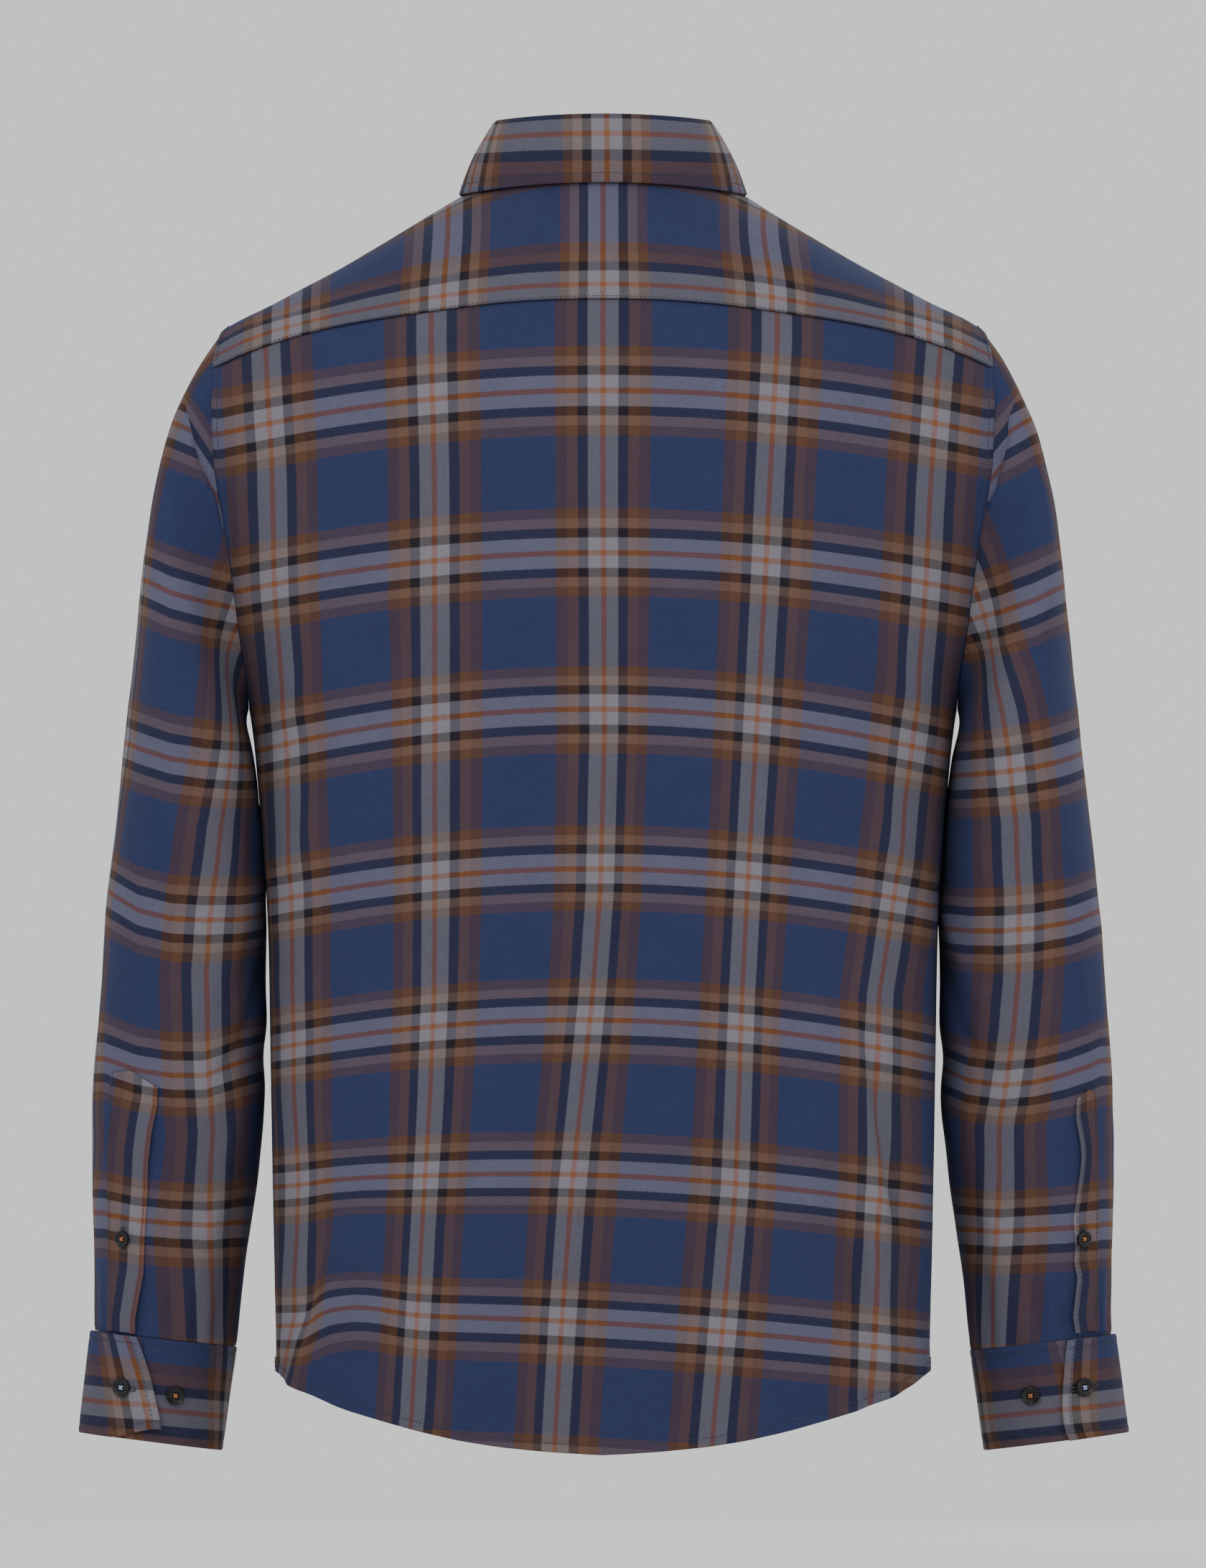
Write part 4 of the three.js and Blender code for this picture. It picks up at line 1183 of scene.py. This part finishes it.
def makeFronts():
    lines = []
    halfBand = body["halfBand"]
    for side in ("left", "right"):
        inset, hemHeight, seed = frontLook[side]
        points = frontGrid()
        normals = gridNormals(points, awayFromAxis(points))
        x, z = points[..., 0], points[..., 2]
        near = 1 - smooth((np.abs(x) - halfBand) / 60)
        points = points - normals * (inset * np.where(x < halfBand + 1, 1, near))[..., None]
        edge = edgeDistances(points)
        fromFront = lengths(points[:, ::-1], 1)[:, ::-1] - halfBand
        u = (frontLook["stripe"] + fromFront) / check["warpRepeat"]
        v = bandsOn(points, check["backBands"])
        inArmhole = smooth((z - sewing["armholeFrom"]) / 6) * smooth((-88 - z) / 4 + 1)
        flat = smooth((x - 22) / 30)
        height = foldLines(x, z, frontLook["folds"]) * flat * smooth(edge["start"] / 14)
        calm = flat * smooth(edge["start"] / 25) * smooth(edge["top"] / 30)
        height += frontLook["wave"] * ripple(x, z, seed) * calm
        hem = sewnEdge(edge["bottom"], edge["start"], sewing["hem"], hemHeight, 0.4)
        height += hem * smooth((x - 20) / 8)
        height += sewnEdge(edge["start"], edge["bottom"], sewing["fell"], 0.7, 0.3) * inArmhole
        points = sided(points + normals * height[..., None], side)
        normals = gridNormals(points, awayFromAxis(points))
        clothPiece("front_" + side, points, normals, cloth["thickness"], u, v)
        armhole = np.nonzero((z[:, 0] > sewing["armholeFrom"] - 2) & (z[:, 0] < -100))[0]
        upper = slice(armhole[0], armhole[-1])
        lines += [lineAt(points, normals, "bottom", sewing["hem"], part=(0, 0.84)),
                  lineAt(points[upper], normals[upper], "start", sewing["fell"])]
    return lines


bandLook = {"lift": 1.6, "topGap": 3.2, "seed": 5}


def makeButtonBand():
    points = frontGrid()
    facing = gridNormals(points, awayFromAxis(points))
    # the front's edge once more, finer, moved out by the gap and the band's own cloth
    across = body["halfBand"] * (2 * spaced("buttonBand") - 1)

    def finer(grid):
        return np.array([[np.interp(across, -row[:, 0], line[:, k]) for k in range(3)]
                         for row, line in zip(points, grid)]).transpose(0, 2, 1)

    base, facing = finer(points), unit(finer(facing))
    down = lengths(base, 0)
    keep = (down[-1] - down).min(1) > bandLook["topGap"]
    base, facing = base[keep], facing[keep]
    edge = edgeDistances(base)
    side = np.minimum(edge["start"], edge["end"])
    height = bandLook["lift"] + 0.4 * (1 - smooth((side - 6) / 1.2)) - 0.4 * bell(side - sewing["band"], 0.8)
    height += 0.2 * ripple(base[..., 0] * 2, base[..., 2], bandLook["seed"])
    height += 0.25 * np.sin(base[..., 2] / 9) * bell(side - 6, 4)
    made = base + facing * height[..., None]
    normals = gridNormals(made, awayFromAxis(made))
    clothPiece("button_band", made, normals, cloth["thickness"], -base[..., 0] / check["warpRepeat"],
               bandsOn(base, check["backBands"]))
    return [lineAt(made, normals, end, sewing["band"]) for end in ("start", "end")]


sleeveLook = {
    # where across the sleeve the bands are measured, from the body outwards
    "places": (205, 220, 240, 260, 280, 300),
    "left": {
        # the number of repeats at the outer line, by height
        "outer": [(-100, 1.0), (-130, 1.07), (-150, 1.144), (-171, 1.2), (-200, 1.27), (-222, 1.3),
                  (-262, 1.303), (-300, 1.28), (-320, 1.265), (-340, 1.245), (-370, 1.18), (-390, 1.14),
                  (-420, 1.11), (-450, 1.08), (-480, 1.045), (-530, 1.05), (-575, 1.058), (-638, 0.98),
                  (-700, 0.957)],
        # the share of the stripes that is left near the cuff, where they are drawn out sideways
        "drawn": 0.83,
        # where the sleeve band's light stripe lies from its free edge
        "bandStripe": 1.6,
        # height of each band's middle at the places across
        "bands": [(-75, -70, -59, -49, -45, -43), (-172, -167, -156, -146.5, -142, -140),
                  (-262, -259, -255, -249.5, -240, -232), (-354, -354, -352.5, -349.5, -343, -335),
                  (-444, -446, -446.5, -445.5, -440.5, -428), (-528, -533, -540, -540, -537, -530),
                  (-628, -629, -630, -629, -627, -623), (-725, -725, -725, -725, -724, -722)],
        # the crease of the drag fold behind the shoulder, where the blue starts and ends in front of it
        # with the slope there, and how fast the bands below it run
        "crease": [(251.6, -134.4), (243.9, -168), (233.5, -192.7), (227.9, -213.4)],
        "foldTop": (-112, -0.88), "foldLow": (-148, 1.55), "foldRate": 0.70,
        "seed": 21,
        # angle and height where each fold starts and ends, its width in degrees, its height
        "folds": [(150, -425, 100, -500, 12, 1.8), (165, -470, 112, -545, 9, -1.8),
                  (60, -560, 40, -690, 10, 1.2), (130, -560, 112, -690, 9, 1.4),
                  (150, -350, 168, -430, 10, 1.4), (140, -600, 150, -690, 8, -1.2)],
    },
    "right": {
        "outer": [(-100, 1.0), (-130, 1.08), (-150, 1.157), (-180, 1.21), (-200, 1.2), (-240, 1.185),
                  (-268, 1.175), (-280, 1.15), (-300, 1.09), (-320, 1.04), (-346, 1.0), (-390, 0.948),
                  (-450, 0.945), (-480, 0.935), (-510, 0.955), (-538, 0.985), (-571, 1.026),
                  (-638, 0.977), (-700, 0.966)],
        "drawn": 0.9,
        "bandStripe": -6.2,
        "bands": [(-79, -71, -58.5, -46, -41, -39), (-176, -168, -155.5, -143, -138, -136),
                  (-270, -266, -261, -254, -244, -236), (-360, -359, -357.5, -354.5, -349.5, -342),
                  (-451, -453, -453, -451.5, -448, -441), (-536, -543, -546, -544, -539, -531),
                  (-632, -633, -634, -633, -632, -630), (-728, -728, -728, -728, -727, -726)],
        "crease": [(250.3, -130.5), (244.3, -142), (243, -162.9), (236.1, -188.8), (230.9, -197.9)],
        "foldTop": (-108, -0.95), "foldLow": (-138, 1.25), "foldRate": 0.67,
        "seed": 22,
        "folds": [(160, -435, 112, -500, 10, 2.2), (168, -465, 120, -530, 8, -2.0),
                  (50, -430, 46, -640, 8, 1.4), (128, -560, 116, -690, 9, 1.4),
                  (64, -300, 58, -420, 9, 1.0)],
    },
}


def creaseDistance(x, z, line):
    # how far a point lies on the body's side of the drag fold's crease
    line = np.array(line)[::-1]
    away = np.interp(z, line[:, 1], line[:, 0]) - x
    return np.where(z > line[-1, 1], 5 + away * 0, away * 0.85)


def foldBands(x, z, look):
    # number of repeats down where the drag fold turns the bands
    (top, topSlope), (low, lowSlope) = look["foldTop"], look["foldLow"]
    middle = 236
    start = low + lowSlope * (x - middle)
    end = np.maximum(top + topSlope * (x - middle), start + 2.5)
    blueStart = dict(flannel["weftEnds"])["weftPurple"]
    blueEnd = check["weftRepeat"] - blueStart
    t = (z - start) / (end - start)
    away = np.where(t < 0, blueStart + look["foldRate"] * (z - start),
                    np.where(t > 1, blueEnd + (z - end), mix(blueStart, blueEnd, t)))
    return 1 - away / check["weftRepeat"]


def makeSleeve(side):
    look = sleeveLook[side]
    points = sleeveGrid(side)
    behind, before = levelArcs(points)
    half = points.shape[1] // 2
    # from here on the grid starts and ends under the arm, where the sleeve is sewn
    points = np.roll(points, half, axis=1)
    around = np.mod(360 * (np.arange(2 * half) + half) / (2 * half), 360)[None]
    normals = gridNormals(points, tubeMiddle(points), True)
    x, z = points[..., 0], points[..., 2]
    arc = np.concatenate([before[:, :-1], -behind], 1)
    wideZ = np.concatenate([z, z[:, :1]], 1)
    outer = np.array(look["outer"])[::-1]
    u = np.interp(wideZ, outer[:, 0], outer[:, 1]) + arc / check["warpRepeat"]
    # the lower sleeve is drawn out sideways towards the cuff
    drawn = smooth((-580 - wideZ) / 60)
    u = np.where(u > 0, u * mix(1, look["drawn"], drawn), u)
    v = crossBands(x, z, sleeveLook["places"], look["bands"])
    fold = creaseDistance(x, z, look["crease"])
    fold = np.where(z < look["crease"][-1][1], -60, fold)
    down = lengths(points, 0)
    calm = smooth(down / 20) * smooth((down[-1:] - down) / 8)
    height = 0.9 * ripple(x + points[..., 1] * 1.3, z, look["seed"]) * calm
    inReach = smooth((z + 215) / 20) * smooth((-136 - z) / 20) * smooth(down / 4)
    height += np.where(fold < 0, 2.2 * np.exp(fold / 7), -1.0 * np.exp(-np.abs(fold) / 3)) * inReach
    for startAngle, startZ, endAngle, endZ, width, tall in look["folds"]:
        t = (z - startZ) / (endZ - startZ)
        height += tall * bell(turned(around, mix(startAngle, endAngle, t)), width) * fadedEnds(t)
    angle = around * degree
    gathered = smooth((z + 640) / -50) * smooth((down[-1:] - down) / 6 + 0.3)
    height += 0.8 * np.sin(angle * 15 + 1.1 * np.sin(angle * 3)) * gathered
    points = sided(points + normals * height[..., None], side)
    normals = gridNormals(points, tubeMiddle(points), True)
    made = clothPiece("sleeve_" + side, points, normals, cloth["thickness"], u[:, :-1], v, u[:, -1:])
    addFold(made, fold, foldBands(x, z, look))


def makeSleeveBand(side):
    points = openingGrid(side)
    away = np.array([258, -20, 0]) + points * upright
    normals = gridNormals(points, away)
    edge = edgeDistances(points)
    u = (edge["end"] - sleeveLook[side]["bandStripe"]) / check["warpRepeat"]
    v = crossBands(points[..., 0], points[..., 2], sleeveLook["places"], sleeveLook[side]["bands"])
    height = sleeve["band"]["lift"] + 0.5 * (1 - smooth((np.minimum(edge["start"], edge["end"]) - 3) / 2))
    wobble = np.sin(edge["bottom"] / 17) * smooth(edge["bottom"] / 30)
    height += wobble * bell(edge["end"], 9)
    points = sided(points + normals * height[..., None], side)
    normals = gridNormals(points, sided(away, side))
    clothPiece("sleeve_band_" + side, points, normals, cloth["thickness"], u, v)
    return [lineAt(points, normals, end, sewing["sleeveBand"]) for end in ("end", "start")]


cuffLook = {
    # how far up the orange line lies, and how far round the light stripe, and the waves' seed
    "left": {"orange": 43.4, "stripe": 7.4, "seed": 31},
    "right": {"orange": 42.0, "stripe": -3.6, "seed": 32},
}


def makeCuff(side):
    look = cuffLook[side]
    points = cuffGrid(side)
    normals = gridNormals(points, tubeMiddle(points))
    edge = edgeDistances(points)
    u = (edge["start"] - look["stripe"]) / check["weftRepeat"]
    v = (edge["bottom"] - look["orange"]) / check["warpRepeat"]
    rim = np.minimum(np.minimum(edge["bottom"], edge["top"]), np.minimum(edge["start"], edge["end"]))
    height = -0.35 * bell(rim - sewing["cuff"], 0.9) - 0.5 * (1 - smooth(rim / 1.2))
    height += 0.35 * ripple(edge["start"], edge["bottom"], look["seed"])
    points = sided(points + normals * height[..., None], side)
    normals = gridNormals(points, tubeMiddle(points))
    clothPiece("cuff_" + side, points, normals, cloth["cuffThickness"], v, u)
    return [lineAt(points, normals, "bottom", sewing["cuff"]), lineAt(points, normals, "top", sewing["cuff"]),
            lineAt(points, normals, "start", sewing["cuff"], part=(0.06, 0.94))]


# how far the leaf's orange line lies below its fold, how far its check is drawn out downwards, and how
# far the stand's orange line lies below its edge
collarLook = {"orange": 14.4, "stretch": 1.1, "standOrange": 18}


def makeCollar():
    stand = standGrid()
    normals = gridNormals(stand, awayFromAxis(stand))
    edge = edgeDistances(stand)
    u = fromMiddle(stand) / check["weftRepeat"]
    v = (edge["bottom"] + collarLook["standOrange"]) / check["warpRepeat"]
    clothPiece("collar_stand", stand, normals, cloth["standThickness"], v, u)
    lines = [lineAt(stand, normals, "bottom", sewing["stand"])]
    leaf = leafGrid()
    hanging = slice(collar["foldRows"], None)
    normals = gridNormals(leaf, -10 * upright)
    rolled = lengths(leaf, 0)
    # both faces of the fold face away from the stand, so the sign is set where it hangs outside
    outside = gridNormals(leaf[hanging], awayFromAxis(leaf[hanging]))
    if np.sum(outside[-10] * normals[-10]) < 0:
        normals = -normals
    edge = edgeDistances(leaf)
    u = fromMiddle(leaf) / check["weftRepeat"]
    middle = leaf.shape[1] // 2
    top = rolled[np.argmax(leaf[:, middle, 2]), middle]
    v = (rolled - top - collarLook["orange"]) / (check["warpRepeat"] * collarLook["stretch"])
    rim = np.minimum(edge["top"], np.minimum(edge["start"], edge["end"]))
    height = -0.35 * bell(rim - sewing["leaf"], 0.9) - 0.3 * (1 - smooth(rim / 1.2))
    leaf = leaf + normals * height[..., None]
    clothPiece("collar_leaf", leaf, normals, cloth["collarThickness"], v, u)
    lines.append(lineAt(leaf, normals, "top", sewing["leaf"], part=(0.03, 0.97)))
    lines += [lineAt(leaf[hanging], normals[hanging], end, sewing["leaf"]) for end in ("start", "end")]
    return lines


seams = makeBack()
print("back made")
seams += makeYoke()
print("yoke made")
seams += makeFronts()
seams += makeButtonBand()
print("fronts made")
for side in ("left", "right"):
    makeSleeve(side)
    seams += makeSleeveBand(side) + makeCuff(side)
print("sleeves made")
seams += makeCollar()
print("collar made")
sew("seam_stitches", seams, materials["thread"], **stitch["seam"])
print("stitches sewn")


# Buttons: a rim, a dish, four holes and the thread through them

def ringFaces(rows, sides):
    # the faces between rings of points, one after another, and the caps at both ends
    faces = []
    for first in range(0, (rows - 1) * sides, sides):
        for i in range(sides):
            k = (i + 1) % sides
            faces.append((first + i, first + k, first + sides + k, first + sides + i))
    last = (rows - 1) * sides
    return faces + [tuple(range(sides))[::-1], tuple(range(last, last + sides))]


def lathed(profile, sides, holeReach, holeRadius, depth):
    # a turned profile of radius and height, dished by four pits in its upper face
    angle = 2 * np.pi * np.arange(sides) / sides
    profile = np.array(profile, float)
    radius, height = profile[:, :1], profile[:, 1:] + 0 * angle
    x, y = radius * np.cos(angle), radius * np.sin(angle)
    upper = np.arange(len(profile))[:, None] >= len(profile) // 2
    for turn in (45, 135, 225, 315):
        away = np.hypot(x - holeReach * np.cos(turn * degree), y - holeReach * np.sin(turn * degree))
        pit = depth * (1 - smooth((away - holeRadius * 0.75) / (holeRadius * 0.5)))
        height = height - np.where(upper, pit, 0)
    return np.stack([x, y, height], -1).reshape(-1, 3), ringFaces(len(profile), sides)


def buttonProfile(radius, height):
    # from the middle of the underside, round the edge, to the middle of the top
    rim = [(0.05, 0), (0.55, 0), (0.8, 0.02), (0.93, 0.1), (0.985, 0.25), (1.0, 0.45), (0.995, 0.65),
           (0.975, 0.82), (0.94, 0.94), (0.89, 1.0), (0.83, 0.99), (0.78, 0.93), (0.74, 0.84), (0.71, 0.77),
           (0.68, 0.74)]
    dish = [(share, buttons["dish"]) for share in np.linspace(0.65, 0.03, 34)]
    return [(a * radius, b * height) for a, b in rim + dish]


def placeOn(surface, angle, level, lift, middle):
    # a point on a surface, moved out, with the way it faces and its way up
    at = surface(angle, level)
    across, up = surface(angle + 0.01, level) - at, surface(angle, level + 0.01) - at
    normal = unit(np.cross(across, up))
    normal = normal * np.sign(np.sum(normal * (at - middle)))
    up = unit(up - normal * np.sum(up * normal))
    return at + normal * lift, normal, up


def fromButton(points, at, normal, up):
    side = np.cross(up, normal)
    return at + points[:, :1] * side + points[:, 1:2] * up + points[:, 2:] * normal


def tube(path, radius, sides=8):
    # a thread along a short path
    path = np.array(path, float)
    way = unit(np.gradient(path, axis=0))
    one = unit(np.cross(way, np.array([0.3, 0.9, 0.1])))
    two = np.cross(way, one)
    turn = (2 * np.pi * np.arange(sides) / sides)[:, None]
    rings = path[:, None] + radius * (one[:, None] * np.cos(turn) + two[:, None] * np.sin(turn))
    return rings.reshape(-1, 3), ringFaces(len(path), sides)


def solidMesh(name, parts, material):
    points, faces = [], []
    for partPoints, partFaces in parts:
        first = sum(len(p) for p in points)
        points.append(partPoints)
        faces += [tuple(first + k for k in face) for face in partFaces]
    data = bpy.data.meshes.new(name)
    data.from_pydata((np.concatenate(points) * mm).tolist(), [], faces)
    data.materials.append(material)
    data.shade_smooth()
    made = linked(name, data)
    work = bmesh.new()
    work.from_mesh(data)
    bmesh.ops.recalc_face_normals(work, faces=work.faces)
    work.to_mesh(data)
    work.free()
    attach(made, "root")
    return made


threads = {"tan": [], "pale": []}
# a strand's way from one hole over the middle into the next, as share of the way and height
strandPath = [(-1, -0.9), (-1, -0.1), (-0.6, 0.28), (0, 0.36), (0.6, 0.28), (1, -0.1), (1, -0.9)]


def makeButton(node, kind, thread, spot):
    radius, height = buttons["radius"][kind], buttons["height"]
    reach = buttons["holeReach"] * radius
    points, faces = lathed(buttonProfile(radius, height), buttons["sides"], reach, buttons["hole"] * radius,
                           buttons["holeDepth"])
    made = solidMesh("shown_" + node, [(fromButton(points, *spot), faces)], materials["button"])
    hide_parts(node)

    def addThread(path, size, sides=8):
        threadPoints, threadFaces = tube(path, size, sides)
        threads[thread].append((fromButton(threadPoints, *spot), threadFaces))

    # two threads over the middle, each of three strands, and the thread's neck under the button
    side = reach * np.cos(45 * degree)
    top = buttons["dish"] * height
    for one, over in ((-1, 0.0), (1, 0.22)):
        for k in (-1, 0, 1):
            off = k * buttons["strandSpacing"]
            path = [(side * share * one + off, side * share - off * one, top + rise + (0 if share else over))
                    for share, rise in strandPath]
            addThread(path, buttons["threadRadius"])
    addThread([(0, 0, 0.1), (0, 0, -0.4), (0, 0, -0.9)], buttons["neckRadius"], 16)


def heightOnFront(z):
    levels = np.linspace(0, body["neck"], 1601)
    return np.interp(z, bodyPoint(-np.pi / 2 + 0 * levels, levels)[:, 2], levels)


holes = []


def makeHole(spot, kind, upwards, lift=0.15, width=0.9):
    # the ring of thread round a buttonhole, up or across the piece, centred on the button's place
    turn = np.linspace(0, 2 * np.pi, 41)
    far = np.clip(np.cos(turn) * 1.15, -1, 1) * buttons["holeLength"][kind] / 2
    wide = np.sign(np.sin(turn)) * np.minimum(1, np.abs(np.sin(turn)) * 2.2) * width
    x, y = (wide, far) if upwards else (far, wide)
    holes.append(fromButton(np.stack([x, y, lift + 0 * x], -1), *spot))


def sleevePoint(angle, level):
    return tubePoint(sleeve["rings"], angle, level)


def cuffPoint(angle, level):
    return tubePoint(cuff["rings"], angle, level)


def makeFrontButtons():
    inside = np.array([0, 0, -400.0])
    for i in range(buttons["count"]):
        level = heightOnFront(buttons["first"] - i * buttons["spacing"])
        spot = placeOn(bodyPoint, -np.pi / 2, level, 1.8, inside)
        makeButton("front_button_" + str(i + 1), "front", "tan", spot)
        makeHole(spot, "front", True)
    spot = placeOn(standPoint, -np.pi / 2, buttons["collarHeight"], 0.3, 0 * upright)
    makeButton("collar_button", "front", "tan", spot)
    makeHole(spot, "front", False, lift=-0.1)


def makeSleeveButtons():
    wrist, forearm = np.array([267.0, -33.0, -730.0]), np.array([258.0, -27.0, -680.0])
    for kind, (angle, level, onTop) in buttons["cuff"].items():
        for side in ("left", "right"):
            start = np.interp(level / 2, *np.array(cuff[side]["edge"]).T)
            lift = 0.5 + (cuffLift(start - angle) if onTop else 0)
            spot = [sided(part, side) for part in placeOn(cuffPoint, angle * degree, level, lift, wrist)]
            makeButton("cuff_button_" + kind + "_" + side, "cuff", "pale" if onTop else "tan", spot)
            if onTop:
                makeHole(spot, "cuff", False, lift=-0.25)
    angle, level = buttons["band"]
    for side in ("left", "right"):
        spot = [sided(part, side) for part in placeOn(sleevePoint, angle * degree, level, 2.2, forearm)]
        makeButton("band_button_" + side, "small", "tan", spot)
        makeHole(spot, "small", True, lift=-0.25)


makeFrontButtons()
makeSleeveButtons()
for name, parts in threads.items():
    solidMesh("button_thread_" + name, parts, materials[name])
sew("buttonholes", holes, materials["thread"], **stitch["buttonhole"])
print("buttons made")

# The room

studio = {
    "floor": 7.0, "floorHeight": -0.86, "floorColour": (0.82, 0.82, 0.83, 1),
    "distance": 30.0, "facing": 0.04, "height": -0.3646, "imageHeight": 0.9435, "film": 36, "clip": 100,
    "world": (0.90, 0.905, 0.92), "worldStrength": 1.0,
    # each light's place, size and power
    "lights": {
        "key": ((1.6, 3.4, 1.8), 2.2, 45),
        "fill": ((-2.4, 3.2, 0.6), 2.4, 20),
        "front_key": ((-1.8, -3.4, 1.6), 2.4, 35),
    },
    "aim": (0, 0, -0.4),
}


def makeFloor():
    reach, z = studio["floor"] / 2, studio["floorHeight"]
    corners = [(-reach, -reach, z), (reach, -reach, z), (reach, reach, z), (-reach, reach, z)]
    data = bpy.data.meshes.new("floor")
    data.from_pydata(corners, [], [(0, 1, 2, 3)])
    s = Shader("pale_floor")
    cloud = s.noise(s.objectPlace(), 0.4)
    data.materials.append(s.finish(Base_Color=studio["floorColour"], Roughness=0.8 + cloud * 0.1))
    linked("floor", data)


def addLight(name, place, size, power):
    data = bpy.data.lights.new(name, "AREA")
    data.shape, data.size, data.energy = "SQUARE", size, power
    light = linked(name, data)
    light.location = place
    light.rotation_euler = (Vector(studio["aim"]) - Vector(place)).to_track_quat("-Z", "Y").to_euler()
    light.visible_camera = False


def makeCamera():
    lens = bpy.data.cameras.new("camera")
    lens.sensor_fit, lens.sensor_width = "AUTO", studio["film"]
    lens.lens = studio["film"] * (studio["distance"] - studio["facing"]) / studio["imageHeight"]
    lens.clip_end = studio["clip"]
    camera = linked("camera", lens)
    camera.location = (0, studio["distance"], studio["height"])
    camera.rotation_euler = (np.pi / 2, 0, np.pi)
    bpy.context.scene.camera = camera


makeFloor()
for name, (place, size, power) in studio["lights"].items():
    addLight(name, place, size, power)
world = bpy.data.worlds.new("studio")
world.use_nodes = True
sky = world.node_tree.nodes["Background"].inputs
sky[0].default_value = (*studio["world"], 1)
sky[1].default_value = studio["worldStrength"]
bpy.context.scene.world = world
makeCamera()
print("room made")


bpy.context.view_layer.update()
for node, (flat, area) in cuts.items():
    print("cut", node, flat, area)
